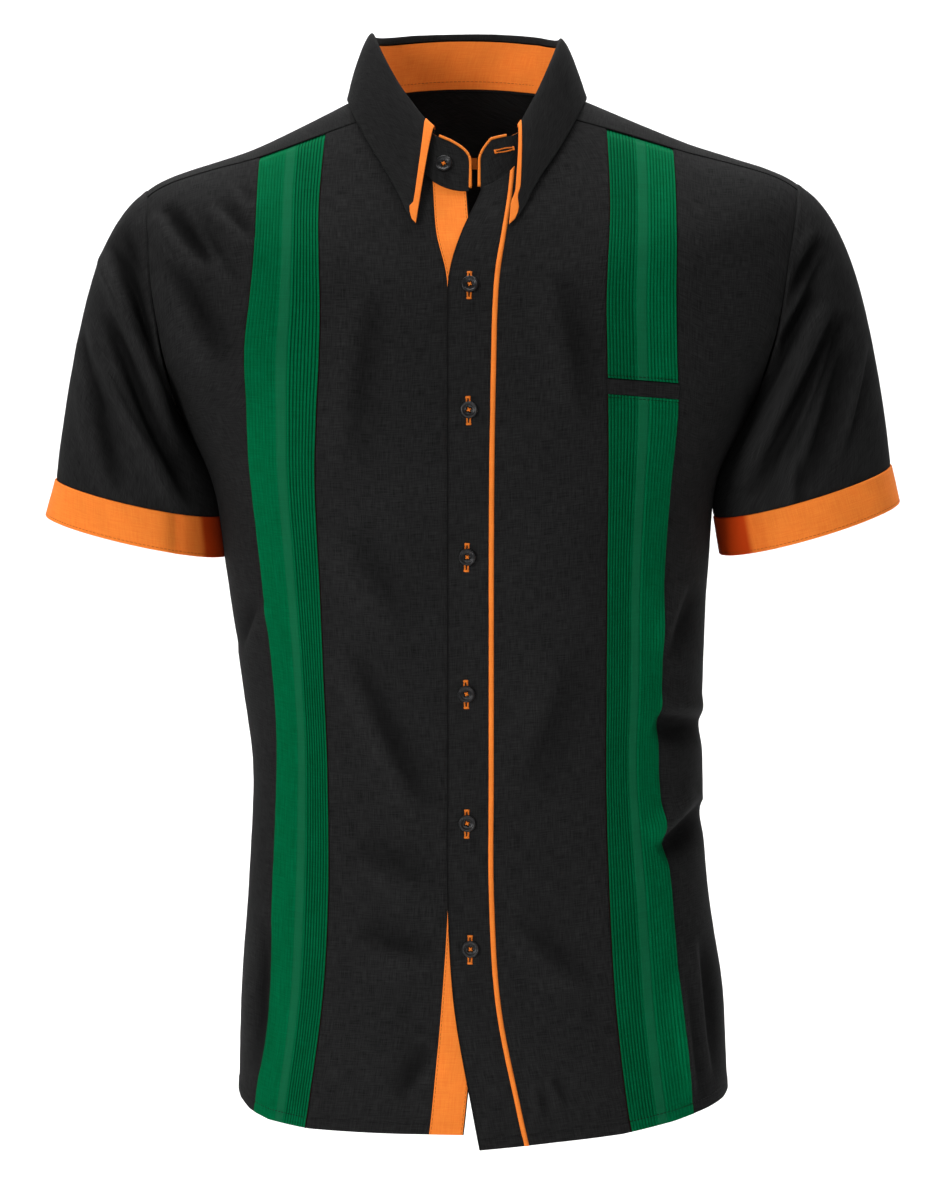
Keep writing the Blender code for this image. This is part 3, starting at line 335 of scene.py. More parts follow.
creaseShape = {  # slopes and ridge as shares of a fold's width, how far cloth must face us to show it, and the scale of the painted shade in troughs and painted highlight on ridges
    "depth": 1.15, "steep": 2.1, "gentle": 0.9, "ridgeOff": 1.25, "ridgeWidth": 0.8,
    "bodyFrom": -0.30, "sleeveFrom": 0.02, "fadeOver": 0.45, "shadeDepth": 3.5 * mm, "shadeRidge": -0.3,
}
ease = {"side": 3.0 * mm, "swell": 1.1 * mm, "swellSize": 0.075, "ripple": 0.38 * mm,
        "rippleSize": 0.026, "rumple": 0.09 * mm, "rumpleSize": 0.008,
        "sideRings": ((6.4, 1.3), (7.5, 0.5)), "calmRings": 1.5}


def cloudNoise(points, size, seed):
    # smooth random values from -1 to 1: the corners of a lattice of this size, blended by smooth steps
    cell = points / size + seed * 17.31
    base = np.floor(cell).astype(np.int64)
    part = cell - base
    part = part * part * (3 - 2 * part)
    total = np.zeros(points.shape[:-1])
    for corner in range(8):
        step = np.array([corner & 1, corner >> 1 & 1, corner >> 2 & 1])
        key = base + step
        mixed = key[..., 0] * 374761393 + key[..., 1] * 668265263 + key[..., 2] * 1442695041 + seed * 974711
        mixed = (mixed ^ (mixed >> 13)) * 1274126177
        mixed = mixed ^ (mixed >> 16)
        total += ((mixed & 65535) / 32767.5 - 1) * np.prod(np.where(step == 1, part, 1 - part), axis=-1)
    return total


def creaseLift(points, normal, names):
    # each crease: minus its depth times a bell across its line, steep on the upper side and gentle
    # on the lower, plus a low ridge beyond it, faded out at its two ends and where the cloth turns
    # away from that side of the shirt
    total = np.zeros(points.shape[:-1])
    along = np.linspace(0, 1, 33)
    for name in names:
        facing = -normal[..., 1] if "ront" in name else normal[..., 1]
        shownFrom = creaseShape["sleeveFrom" if "sleeve" in name else "bodyFrom"]
        seen = eased((facing - shownFrom) / creaseShape["fadeOver"])
        for depth, width, ridge, x0, z0, x1, z1, x2, z2 in creases[name]:
            lineX = (x0 * (1 - along) ** 2 + 2 * x1 * along * (1 - along) + x2 * along ** 2) * mm
            lineZ = (z0 * (1 - along) ** 2 + 2 * z1 * along * (1 - along) + z2 * along ** 2) * mm
            tangent = np.stack([np.gradient(lineX), np.gradient(lineZ)], -1)
            pace = np.linalg.norm(tangent, axis=-1, keepdims=True)
            tangent = tangent / pace
            offX, offZ = points[..., 0, None] - lineX, points[..., 2, None] - lineZ
            nearest = np.argmin(offX ** 2 + offZ ** 2, axis=-1)
            dx = np.take_along_axis(offX, nearest[..., None], -1)[..., 0]
            dz = np.take_along_axis(offZ, nearest[..., None], -1)[..., 0]
            tx, tz = tangent[nearest, 0], tangent[nearest, 1]
            ahead = dx * tx + dz * tz
            place = np.clip(along[nearest] + ahead / pace[nearest, 0] / (len(along) - 1), 0, 1)
            across = (dz * tx - dx * tz) / (width * mm)
            beyond = np.maximum(np.abs(ahead) - pace[nearest, 0], 0) / (width * mm)
            slope = np.where(across < 0, creaseShape["steep"], creaseShape["gentle"])
            rise = bell(across + creaseShape["ridgeOff"], creaseShape["ridgeWidth"])
            trough = bell(across * slope, 1) - ridge * rise
            deep = creaseShape["depth"] * (1 + 5 / (width + 4)) * depth * mm  # narrow folds are cut deeper
            total -= deep * trough * np.sin(math.pi * place) ** 0.7 * bell(beyond, 1) * seen
    return total


def unevenness(points):
    tall = points * [1, 1, 0.55]  # cloth that hangs is rumpled more across than up and down
    return (ease["swell"] * cloudNoise(tall, ease["swellSize"], 3)
            + ease["ripple"] * cloudNoise(tall, ease["rippleSize"], 5)
            + ease["rumple"] * cloudNoise(points, ease["rumpleSize"], 8))


def bodyCloth(level, angle, out=0.0):
    # the form, lifted along its normals by unevenness, the sides' swell under the arms and the folds
    level = np.asarray(level, float)
    points = bodySurface(level, angle)
    normal = surfaceNormals(bodySurface, level, angle)
    calm = np.clip((neck - level) / ease["calmRings"], 0, 1)  # the neck seam lies smooth
    swelling = sum(bell(level - middle, width) for middle, width in ease["sideRings"])
    folds = creaseLift(points, normal, ("front", "back"))
    lift = unevenness(points) * calm + out + ease["side"] * swelling * np.sin(angle) ** 6 + folds
    return points + normal * lift[..., None], normal, folds


def foldShade(folds):
    # the mask for painted shade: how deep in a fold's trough the cloth lies, from 0 to 1, and a little below 0 on
    # its ridge, where a painted highlight goes
    return np.clip(-folds / creaseShape["shadeDepth"], creaseShape["shadeRidge"], 1)


def runs(points, axis):
    # distance along the rows or columns of a grid of points, from its first to its last
    steps = np.linalg.norm(np.diff(points, axis=axis), axis=-1)
    zero = np.zeros_like(np.take(steps, [0], axis=axis))
    return np.concatenate([zero, np.cumsum(steps, axis=axis)], axis=axis)


# ---- meshes


def linearColour(hexColour, shade=1.0):
    values = [int(hexColour[i : i + 2], 16) / 255 for i in (0, 2, 4)]
    return (*(shade * (v / 12.92 if v <= 0.04045 else ((v + 0.055) / 1.055) ** 2.4) for v in values), 1)


def gridQuads(rows, columns, closed=False):
    r, c = np.meshgrid(np.arange(rows - 1), np.arange(columns if closed else columns - 1), indexing="ij")
    n = (c + 1) % columns
    return np.stack(
        [r * columns + c, r * columns + n, (r + 1) * columns + n, (r + 1) * columns + c], -1
    ).reshape(-1, 4)


def makeMesh(name, points, quads, finish, uv=None, uvQuads=None):
    mesh = bpy.data.meshes.new(name)
    points = np.asarray(points, np.float32).reshape(-1, 3)
    mesh.vertices.add(len(points))
    mesh.vertices.foreach_set("co", points.ravel())
    sides = quads.shape[1]
    mesh.loops.add(quads.size)
    mesh.loops.foreach_set("vertex_index", quads.ravel().astype(np.int32))
    mesh.polygons.add(len(quads))
    mesh.polygons.foreach_set("loop_start", np.arange(0, quads.size, sides, dtype=np.int32))
    mesh.polygons.foreach_set("use_smooth", np.ones(len(quads), bool))
    if uv is not None:
        layer = mesh.uv_layers.new(name="weave")
        corners = (quads if uvQuads is None else uvQuads).ravel()
        layer.data.foreach_set("uv", uv.reshape(-1, 2)[corners].astype(np.float32).ravel())
    mesh.update(calc_edges=True)
    mesh.validate()
    mesh.materials.append(finish)
    piece = bpy.data.objects.new(name, mesh)
    bpy.context.scene.collection.objects.link(piece)
    return piece


def sheetOf(name, points, finish, wall, closed=False, marks=None):
    # an open sheet on a grid, its UV map in metres along the cloth, thickened inwards; marks are
    # named values on its points for the material, such as the painted shade in a fold's trough
    rows, columns = points.shape[:2]
    around = np.concatenate([points, points[:, :1]], 1) if closed else points
    uv = np.stack([runs(around, 1), runs(around, 0)], -1)
    quads = gridQuads(rows, columns, closed)
    piece = makeMesh(name, points, quads, finish, uv, gridQuads(rows, columns + 1) if closed else None)
    for mark, values in (marks or {}).items():
        layer = piece.data.attributes.new(mark, "FLOAT", "POINT")
        layer.data.foreach_set("value", np.broadcast_to(values, points.shape[:2]).astype(np.float32).ravel())
    thickness = piece.modifiers.new("cloth", "SOLIDIFY")
    thickness.thickness = wall
    thickness.offset = -1
    return piece


def dress(piece, nodes):
    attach(piece, "root")
    if nodes:
        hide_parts(*nodes)


# ---- materials


def addNode(tree, kind, links=None, values=None, **settings):
    node = tree.nodes.new("ShaderNode" + kind)
    for name, value in settings.items():
        setattr(node, name, value)
    for name, value in (values or {}).items():
        node.inputs[name].default_value = value
    for name, socket in (links or {}).items():
        tree.links.new(socket, node.inputs[name])
    return node


def newMaterial(name, values):
    made = bpy.data.materials.new(name)
    made.use_nodes = True
    shader = made.node_tree.nodes["Principled BSDF"]
    for socket, value in values.items():
        shader.inputs[socket].default_value = value
    return made, made.node_tree, shader


def wovenCloth(name, look):
    # plain-weave cloth: two sets of drawn-out noise, one along the warp and one along the weft, are
    # the yarns of uneven thickness; their sum tints the colour and raises the bump
    made, tree, shader = newMaterial(
        name, {"Roughness": look["roughness"], "Specular IOR Level": look["gloss"]}
    )
    place = addNode(tree, "UVMap", uv_map="weave").outputs[0]
    yarns = []
    for across, along in ((look["yarn"], look["slub"]), (look["slub"], look["yarn"])):
        stretched = addNode(tree, "Mapping", {"Vector": place}, {"Scale": (1 / across, 1 / along, 1)})
        noise = addNode(
            tree, "TexNoise", {"Vector": stretched.outputs[0]},
            {"Scale": 1.0, "Detail": 2.5, "Roughness": 0.62}
        )
        yarns.append(noise.outputs[0])
    both = addNode(tree, "Math", {0: yarns[0], 1: yarns[1]}, operation="ADD").outputs[0]
    clouds = addNode(
        tree, "TexNoise", {"Vector": place}, {"Scale": 1 / look["cloud"], "Detail": 3.0}
    ).outputs[0]
    spread = addNode(tree, "MapRange", {"Value": both}, {"From Min": 0.72, "From Max": 1.28}).outputs[0]
    worn = addNode(
        tree, "Mix", {0: spread}, {6: linearColour(look["shade"]), 7: linearColour(look["light"])},
        data_type="RGBA"
    )
    uneven = addNode(
        tree, "MapRange", {"Value": clouds},
        {"From Min": 0.3, "From Max": 0.7, "To Min": 0.93, "To Max": 1.07}
    ).outputs[0]
    # painted shade: the troughs of folds get a soft painted shadow, and their ridges a painted highlight
    fold = addNode(tree, "Attribute", attribute_name="fold").outputs["Fac"]
    shadow = addNode(
        tree, "MapRange", {"Value": fold},
        {"From Min": creaseShape["shadeRidge"], "To Min": 1.14, "To Max": look["shadow"]}
    ).outputs[0]
    uneven = addNode(tree, "Math", {0: uneven, 1: shadow}, operation="MULTIPLY").outputs[0]
    if "deep" in look:
        # painted shade and painted bounce light: where the fold mark is high, in troughs and where the cloth
        # faces itself, the colour turns to a deeper tone
        deep = addNode(tree, "Math", {0: fold}, {1: 0.0}, operation="MAXIMUM").outputs[0]
        worn = addNode(
            tree, "Mix", {0: deep, 6: worn.outputs[2]}, {7: linearColour(look["deep"])},
            data_type="RGBA"
        )
    if "plain" in look:
        # the untucked band is a little greyer, and the tucks' roots get painted shade, nearly black
        band = addNode(tree, "Attribute", attribute_name="plainBand").outputs["Fac"]
        worn = addNode(
            tree, "Mix", {0: band, 6: worn.outputs[2]}, {7: linearColour(look["plain"])},
            data_type="RGBA"
        )
        root = addNode(tree, "Attribute", attribute_name="tuckRootShade").outputs["Fac"]
        rootShade = addNode(tree, "MapRange", {"Value": root}, {"To Min": 1.0, "To Max": 0.12}).outputs[0]
        uneven = addNode(tree, "Math", {0: uneven, 1: rootShade}, operation="MULTIPLY").outputs[0]
    tinted = addNode(tree, "VectorMath", {0: worn.outputs[2], 3: uneven}, operation="SCALE").outputs[0]
    tree.links.new(tinted, shader.inputs["Base Color"])
    fine = addNode(
        tree, "TexNoise", {"Vector": place}, {"Scale": 1 / look["grain"], "Detail": 2.0}
    ).outputs[0]
    raised = addNode(tree, "Math", {0: fine, 2: both}, {1: 0.5}, operation="MULTIPLY_ADD").outputs[0]
    bump = addNode(tree, "Bump", {"Height": raised}, {"Strength": look["bump"], "Distance": look["relief"]})
    tree.links.new(bump.outputs[0], shader.inputs["Normal"])
    return made


# Black cotton-blend poplin with slub yarns: a matt deep grey-black that shows a faint crosshatch.
# The real yarns lie 0.25 mm apart, too fine to show, so only the thick ones are drawn, at 0.6 mm.
blackPoplin = wovenCloth("black cotton poplin, slub woven", {
    "shade": "121212", "light": "292929", "yarn": 0.62 * mm, "slub": 11 * mm, "cloud": 0.05,
    "grain": 0.5 * mm,
    "shadow": 0.36, "bump": 0.42, "relief": 0.12 * mm, "roughness": 0.85, "gloss": 0.04})
# Green cotton-blend poplin, pintucked by machine: saturated and matt, with painted shade between the tucks.
greenPoplin = wovenCloth("green cotton poplin, pintucked", {
    "shade": "00542F", "light": "00653E", "plain": "1A5A3E", "shadow": 0.6, "yarn": 0.8 * mm,
    "slub": 20 * mm, "cloud": 0.06, "grain": 0.5 * mm,
    "bump": 0.3, "relief": 0.08 * mm, "roughness": 0.85, "gloss": 0.02})
# Orange cotton poplin, piece dyed: even and bright; its creases get painted shade in a deeper orange-red.
orangePoplin = wovenCloth("orange cotton poplin, piece dyed", {
    "shade": "E87529", "light": "F08735", "deep": "C93F08", "shadow": 0.85, "yarn": 0.7 * mm,
    "slub": 14 * mm, "cloud": 0.03, "grain": 0.5 * mm,
    "bump": 0.3, "relief": 0.08 * mm, "roughness": 0.8, "gloss": 0.1})


def spunThread(name, hexColour, roughness=0.55):
    # polyester sewing thread: a slight gloss, its twist too fine to show, only a mottle of 1 mm
    made, tree, shader = newMaterial(name, {"Roughness": roughness, "Specular IOR Level": 0.08})
    place = addNode(tree, "TexCoord").outputs["Object"]
    mottle = addNode(tree, "TexNoise", {"Vector": place}, {"Scale": 900.0, "Detail": 1.0}).outputs[0]
    mix = addNode(
        tree, "Mix", {0: mottle}, {6: linearColour(hexColour, 0.7), 7: linearColour(hexColour)},
        data_type="RGBA"
    )
    tree.links.new(mix.outputs[2], shader.inputs["Base Color"])
    return made


orangeThread = spunThread("orange polyester thread, spun", "F5862F")
# this thread's material also draws the dark line of painted seam shadow beside the strips
seamThreadAndShadow = spunThread("dark red-brown polyester thread, spun", "1C0505", 0.9)
brownThread = spunThread("burnt orange polyester thread, spun", "A8501B")
blackThread = spunThread("black polyester thread, spun", "131314")


def castPolyester():
    # black polyester button blank, turned and tumble polished: a soft gloss with faint swirls
    polish = {"Roughness": 0.3, "Specular IOR Level": 0.35, "IOR": 1.55}
    made, tree, shader = newMaterial("black cast polyester, polished", polish)
    place = addNode(tree, "TexCoord").outputs["Object"]
    swirl = addNode(
        tree, "TexNoise", {"Vector": place}, {"Scale": 260.0, "Detail": 3.0, "Distortion": 1.5}
    ).outputs[0]
    mix = addNode(
        tree, "Mix", {0: swirl}, {6: linearColour("080808"), 7: linearColour("1A1A1C")},
        data_type="RGBA"
    )
    tree.links.new(mix.outputs[2], shader.inputs["Base Color"])
    return made


buttonPlastic = castPolyester()
print("materials made")

# ---- panels of the body

panelCut = {"step": 2.7 * mm, "wall": 0.5 * mm, "seamOffsets": (0.4, 0.9, 1.5, 2.3, 3.6),
            "hemOffsets": (0.4, 1.0, 3.0, 6.0, 7.3, 8.1, 8.9, 10.5), "ditch": 0.55 * mm,
            "underlap": 1.1 * mm, "hemRise": 0.4 * mm, "hemDepth": 8.2 * mm, "hemStitch": 7.4 * mm,
            "stripSeam": 1.6, "sideSeam": 0.5, "ditchWidth": 1.3 * mm}


def seamDip(distance, depth=1.0):
    return -panelCut["ditch"] * depth * bell(distance, panelCut["ditchWidth"])


def pucker(points, distance):
    return 0.16 * mm * cloudNoise(points, 5 * mm, 11) * np.exp(-distance / (6 * mm))


def hemLift(distance):
    # the doubled hem stands proud up to its stitch line, which pulls a shallow groove
    rise = np.clip((panelCut["hemDepth"] + 0.6 * mm - distance) / (1.2 * mm), 0, 1)
    groove = bell(distance - panelCut["hemStitch"], 0.8 * mm)
    roll = np.clip(1 - distance / (0.5 * mm), 0, 1)
    return panelCut["hemRise"] * rise - 0.25 * mm * groove - 0.35 * mm * roll ** 2


def finishPanel(name, grid, finish, edges, out=0.0, wall=None, lift=None, marks=None):
    # edges names the sides of the grid that are seams or hems; returns the points for its stitches
    levels, angles = grid[..., 0], grid[..., 1]
    base = bodySurface(levels, angles)
    across, up = runs(base, 1), runs(base, 0)
    distance = {"left": across, "right": across[:, -1:] - across, "bottom": up, "top": up[-1:] - up}
    total = np.zeros(base.shape[:2]) + out
    for edge, kind in edges.items():
        if kind == "hem":
            total = total + hemLift(distance[edge])
        else:
            total = total + seamDip(distance[edge], kind) + pucker(base, distance[edge])
    if lift is not None:
        total = total + lift
    points, _, folds = bodyCloth(levels, angles, total)
    # painted shade in the folds' troughs and a painted highlight on their ridges, as the fold mark
    marks = {"fold": foldShade(folds), **(marks or {})}
    return sheetOf(name, points, finish, panelCut["wall"] if wall is None else wall, marks=marks), points


def climb(bottom, top, below, above):
    return np.concatenate([bottom + (underarm - bottom) * below, underarm + (top - underarm) * above[1:]])


belowShares = spaced(0.49, panelCut["step"], panelCut["hemOffsets"])
aboveShares = spaced(0.19, panelCut["step"], (), panelCut["seamOffsets"])
wholeShares = spaced(0.68, panelCut["step"], panelCut["hemOffsets"], panelCut["seamOffsets"])


def sideEdge(side, hem, face, topTurn):
    # up the side seam, then round the armhole
    bottom = hemAtAngle(hem, side * math.pi / 2)
    levels = bottom + (underarm - bottom) * belowShares
    angles = np.full_like(levels, side * math.pi / 2)
    around = armhole(side, topTurn * aboveShares[1:], face)
    return np.concatenate([np.stack([levels, angles], -1), around])


def sidePanel(name, node, side, hem, lineName):
    line = frontLine(lineName, -side * panelCut["underlap"])
    top = seamCrossing(side, line, -panelCut["underlap"])
    levels = climb(hemCrossing(hem, line), top, belowShares, aboveShares)
    strip = np.stack([levels, angleAtX(levels, line(levels))], -1)
    outer = sideEdge(side, hem, "front", cornerTurn)
    shares = spaced(0.095, panelCut["step"], panelCut["seamOffsets"], panelCut["seamOffsets"])
    upper = yokeSeam(side, top + (cornerLevel - top) * shares, -panelCut["underlap"])
    angles = strip[0, 1] + (outer[0, 1] - strip[0, 1]) * shares
    lower = np.stack([[hemAtAngle(hem, a) for a in angles], angles], -1)
    lower[0], lower[-1], outer[-1] = strip[0], outer[0], upper[-1]
    grid = patch(strip, outer, lower, upper, shares)
    inner, outer = ("left", "right") if side > 0 else ("right", "left")
    edges = {inner: panelCut["stripSeam"], outer: panelCut["sideSeam"], "bottom": "hem"}
    piece, points = finishPanel(name, grid if side > 0 else grid[:, ::-1], blackPoplin, edges)
    dress(piece, [node])
    return points


def centrePanel(name, node, side, hem, openingLine, stripName, lift=None):
    stripLine = frontLine(stripName, side * panelCut["underlap"])
    edgeX, stripX = float(openingLine(neck)), float(stripLine(neck))
    neckX = float(bodySurface(neck, yokeSeam(side, np.array([neck]), 0)[0, 1])[0])
    corner = (neckX - edgeX) / (stripX - edgeX)
    shares = spaced(0.10, panelCut["step"], (0.4, 0.9, 1.6, 2.6), panelCut["seamOffsets"])
    shares = np.sort(np.append(shares, corner))
    columns = []
    for share in shares:
        line = between(openingLine, stripLine, share)
        bottom = hemCrossing(hem, line)
        top = neck if share <= corner else seamCrossing(side, line, -panelCut["underlap"])
        levels = bottom + (top - bottom) * wholeShares
        columns.append(np.stack([levels, angleAtX(levels, line(levels))], -1))
    grid = np.stack(columns, 1)
    edges = {"bottom": "hem", "right" if side > 0 else "left": panelCut["stripSeam"]}
    if side < 0:
        grid = grid[:, ::-1]
    extra = lift(bodySurface(grid[..., 0], grid[..., 1])[..., 0]) if lift else None
    piece, points = finishPanel(name, grid, blackPoplin, edges, lift=extra)
    dress(piece, [node])
    return points


opening = {"sink": 1.7 * mm, "sinkStart": -0.050, "sinkWidth": 0.030, "placketRise": 0.8 * mm,
           "pipingWidth": 3.6 * mm, "pipingRise": 1.5 * mm, "underWidth": 22.5 * mm}


def sinkUnder(x):
    # the under front sinks behind the placket
    return -opening["sink"] * eased((x - opening["sinkStart"]) / opening["sinkWidth"])


panelPoints = {}  # the outer points of each panel, for the stitches
panelPoints["rightSide"] = sidePanel(
    "rightSideFront", "front_right_side", -1, "right", "rightOuter"
)
panelPoints["leftSide"] = sidePanel(
    "leftSideFront", "front_left_side", 1, "left", "leftOuter"
)
panelPoints["rightCentre"] = centrePanel(
    "rightCentreFront", "front_right_centre", -1, "right", frontLine("underEdge"), "rightInner",
    sinkUnder
)
panelPoints["leftCentre"] = centrePanel(
    "leftCentreFront", "front_left_centre", 1, "left", frontLine("pipingEdge", 1.2 * mm), "leftInner",
)
print("front panels made")


def backPanel():
    topLevel = yokeCut["backLevel"] + yokeCut["underLap"]
    leftEdge = sideEdge(1, "back", "back", armholeTurn(topLevel))
    rightEdge = fullTurn(sideEdge(-1, "back", "back", armholeTurn(topLevel)))
    shares = spaced(0.46, panelCut["step"], panelCut["seamOffsets"], panelCut["seamOffsets"])
    angles = leftEdge[0, 1] + (rightEdge[0, 1] - leftEdge[0, 1]) * shares
    lower = np.stack([[hemAtAngle("back", a) for a in angles], angles], -1)
    lower[0], lower[-1] = leftEdge[0], rightEdge[0]
    topAngles = leftEdge[-1, 1] + (rightEdge[-1, 1] - leftEdge[-1, 1]) * shares
    upper = np.stack([np.full_like(topAngles, topLevel), topAngles], -1)
    grid = patch(leftEdge, rightEdge, lower, upper, shares)
    edges = {"left": panelCut["sideSeam"], "right": panelCut["sideSeam"], "bottom": "hem"}
    piece, points = finishPanel("backPanel", grid, blackPoplin, edges)
    dress(piece, ["back"])
    return points


def yokePiece():
    # over the shoulders: its outer edge follows the armholes and the back seam, its inner the neck
    lap = panelCut["underlap"]
    seamLevel = yokeCut["backLevel"] - yokeCut["overLap"]
    seamTurn = armholeTurn(seamLevel)
    overFront = armhole(1, np.linspace(cornerTurn, math.pi, 22)[:-1], "front")
    overBack = armhole(1, np.linspace(math.pi, seamTurn, 22), "back")
    half = np.concatenate([overFront, overBack])
    across = half[-1, 1] + (2 * math.pi - 2 * half[-1, 1]) * spaced(0.42, 3.2 * mm)[1:-1]
    behind = np.stack([np.full_like(across, seamLevel), across], -1)
    outer = np.concatenate([half, behind, half[::-1] * [1, -1] + [0, 2 * math.pi]])
    up = spaced(0.155, 3.0 * mm, (0.4, 0.9, 1.6, 2.4, 3.4), (0.8, 2.0))
    levels = cornerLevel + (neck - cornerLevel) * up
    first = yokeSeam(1, levels, lap * 0.4)
    last = fullTurn(yokeSeam(-1, levels, lap * 0.4))
    outer[0], outer[-1] = first[0], last[0]
    turned = (outer[:, 1] - first[0, 1]) / (last[0, 1] - first[0, 1])
    neckAngles = first[-1, 1] + (last[-1, 1] - first[-1, 1]) * turned
    inner = np.stack([np.full_like(neckAngles, neck), neckAngles], -1)
    grid = patch(first, last, outer, inner, turned, up)
    piece, points = finishPanel("yoke", grid, blackPoplin, {}, out=0.45 * mm)
    dress(piece, ["yoke"])
    return points


panelPoints["back"] = backPanel()
panelPoints["yoke"] = yokePiece()
print("back and yoke made")

# ---- green pintucked strips

tucking = {"tucks": 9, "rise": 0.75 * mm, "crest": 0.20, "plainShare": 0.15, "base": 0.25 * mm,
           "plainRise": 0.15 * mm, "rootWidth": 0.10, "rootSeen": 0.85, "rootHidden": 0.16,
           "plainTint": 0.5, "stitch": 2.0 * mm, "turning": 1.6 * mm}


def tuckLift(share):
    # saw teeth: each tuck climbs fast at its free edge, away from the plain band, and falls slowly
    half = (1 - tucking["plainShare"]) / 2
    mirrored = np.minimum(share, 1 - share)
    place = np.clip(mirrored / (half / tucking["tucks"]), 0, tucking["tucks"])
    part = place - np.floor(place)
    tooth = np.where(
        part < tucking["crest"], part / tucking["crest"],
        1 - (part - tucking["crest"]) / (1 - tucking["crest"])
    )
    tooth = tooth ** 1.3 - 0.4 * bell(np.minimum(part, 1 - part), tucking["rootWidth"])
    return np.where(mirrored < half, tucking["rise"] * tooth, tucking["plainRise"])


def edgeStitched(distance):
    # a turned edge: a groove along its stitch line and a rise over the turning
    groove = -0.5 * mm * bell(distance - tucking["stitch"], 0.6 * mm)
    return groove + 0.2 * mm * (distance < tucking["turning"])


def stripShares():
    half = (1 - tucking["plainShare"]) / 2
    pitch = half / tucking["tucks"]
    inTuck = np.array([0.0, 0.07, 0.2, 0.42, 0.72, 0.92]) * pitch
    low = (np.arange(tucking["tucks"])[:, None] * pitch + inTuck).ravel()
    plain = half + tucking["plainShare"] * np.linspace(0, 1, 7)
    return np.concatenate([low, plain, 1 - low[::-1]])


welt = {"top": -0.2011, "height": 0.0112, "slope": -0.055, "rise": 0.9 * mm}


def weltHeight(x):
    return welt["top"] + welt["slope"] * (x - frontLines["leftInner"][9])


def tuckedStrip(name, node, side, part):
    low, high = ("leftInner", "leftOuter") if side > 0 else ("rightOuter", "rightInner")
    shares = stripShares()
    columns = []
    for share in shares:
        line = between(frontLine(low), frontLine(high), share)
        x = float(line(underarm + 1))
        bottom = hemCrossing("left" if side > 0 else "right", line)
        top = seamCrossing(side, line, -panelCut["underlap"])
        if part == "upper":
            bottom = heightCrossing(line, weltHeight(x) + 0.1 * mm)
            rows = spaced(0.185, 3.2 * mm, (0.4, 1.0, 1.8, 2.6), ())
        elif part == "lower":
            top = heightCrossing(line, weltHeight(x) - welt["height"] + 0.2 * mm)
            rows = spaced(0.49, 3.2 * mm, panelCut["hemOffsets"], (0.4, 1.0, 1.8, 2.6))
        else:
            rows = spaced(0.68, 3.2 * mm, panelCut["hemOffsets"], ())
        levels = bottom + (top - bottom) * rows
        columns.append(np.stack([levels, angleAtX(levels, line(levels))], -1))
    grid = np.stack(columns, 1)
    up = runs(bodySurface(grid[..., 0], grid[..., 1]), 0)
    down = up[-1:] - up
    lift = tuckLift(shares)[None, :] + 0 * up
    edges = {"left": panelCut["sideSeam"], "right": panelCut["sideSeam"]}
    if part == "upper":
        lift = lift + edgeStitched(up)
    else:
        # the hem presses the tucks down
        lift = lift * np.clip((up - 2 * mm) / (9 * mm), 0.45, 1)
        edges["bottom"] = "hem"
    if part == "lower":
        lift = lift + edgeStitched(down)
    else:
        # the top runs in under the yoke's edge
        tucked = np.clip(1 - down / (3.5 * mm), 0, 1)
        lift = lift * (1 - tucked) - 1.0 * mm * tucked
    # painted shade in the tucks' roots, strong on the half towards the centre and faint on the other
    half = (1 - tucking["plainShare"]) / 2
    mirrored = np.minimum(shares, 1 - shares)
    inTuck = (mirrored / (half / tucking["tucks"])) % 1
    towardsCentre = shares < 0.5 if side > 0 else shares > 0.5
    roots = bell(np.minimum(inTuck, 1 - inTuck), tucking["rootWidth"]) * (mirrored < half - 0.002)
    roots = roots * np.where(towardsCentre, tucking["rootSeen"], tucking["rootHidden"])
    plain = np.clip((mirrored - half) / 0.014 + 0.5, 0, 1) * tucking["plainTint"]
    marks = {"plainBand": plain[None, :], "tuckRootShade": roots[None, :]}
    piece, points = finishPanel(name, grid, greenPoplin, edges, out=tucking["base"], lift=lift, marks=marks)
    dress(piece, [node])
    return points


panelPoints["rightStrip"] = tuckedStrip(
    "rightTuckedStrip", "tucked_strip_right", -1, "whole"
)
panelPoints["leftStripUpper"] = tuckedStrip(
    "leftTuckedStripUpper", "tucked_strip_left_upper", 1, "upper"
)
panelPoints["leftStripLower"] = tuckedStrip(
    "leftTuckedStripLower", "tucked_strip_left_lower", 1, "lower"
)


def pocketWelt():
    columns = []
    for share in spaced(0.05, 2.2 * mm, (0.5, 1.2), (0.5, 1.2)):
        line = between(frontLine("leftInner", -0.3 * mm), frontLine("leftOuter", 0.3 * mm), share)
        x = float(line(underarm + 1))
        top = heightCrossing(line, weltHeight(x) - 0.4 * mm)
        bottom = heightCrossing(line, weltHeight(x) - welt["height"] + 0.3 * mm)
        levels = bottom + (top - bottom) * spaced(0.011, 0.8 * mm, (0.3, 0.7), (0.3, 0.7))
        columns.append(np.stack([levels, angleAtX(levels, line(levels))], -1))
    grid = np.stack(columns, 1)
    up = runs(bodySurface(grid[..., 0], grid[..., 1]), 0)
    near = np.minimum(up, up[-1:] - up)
    lift = -0.6 * mm * np.clip(1 - near / (0.8 * mm), 0, 1) ** 2
    piece, points = finishPanel(
        "pocketWelt", grid, blackPoplin, {}, out=welt["rise"], lift=lift, wall=1.6 * mm
    )
    dress(piece, ["pocket_welt"])
    return points


panelPoints["welt"] = pocketWelt()
print("tucked strips and pocket welt made")

# ---- front opening: placket, its piping and the orange band under it


def bandGrid(lineA, lineB, hem, shares):
    columns = []
    for share in shares:
        line = between(lineA, lineB, share)
        bottom = hemCrossing(hem, line)
        levels = bottom + (neck - bottom) * wholeShares
        columns.append(np.stack([levels, angleAtX(levels, line(levels))], -1))
    return np.stack(columns, 1)


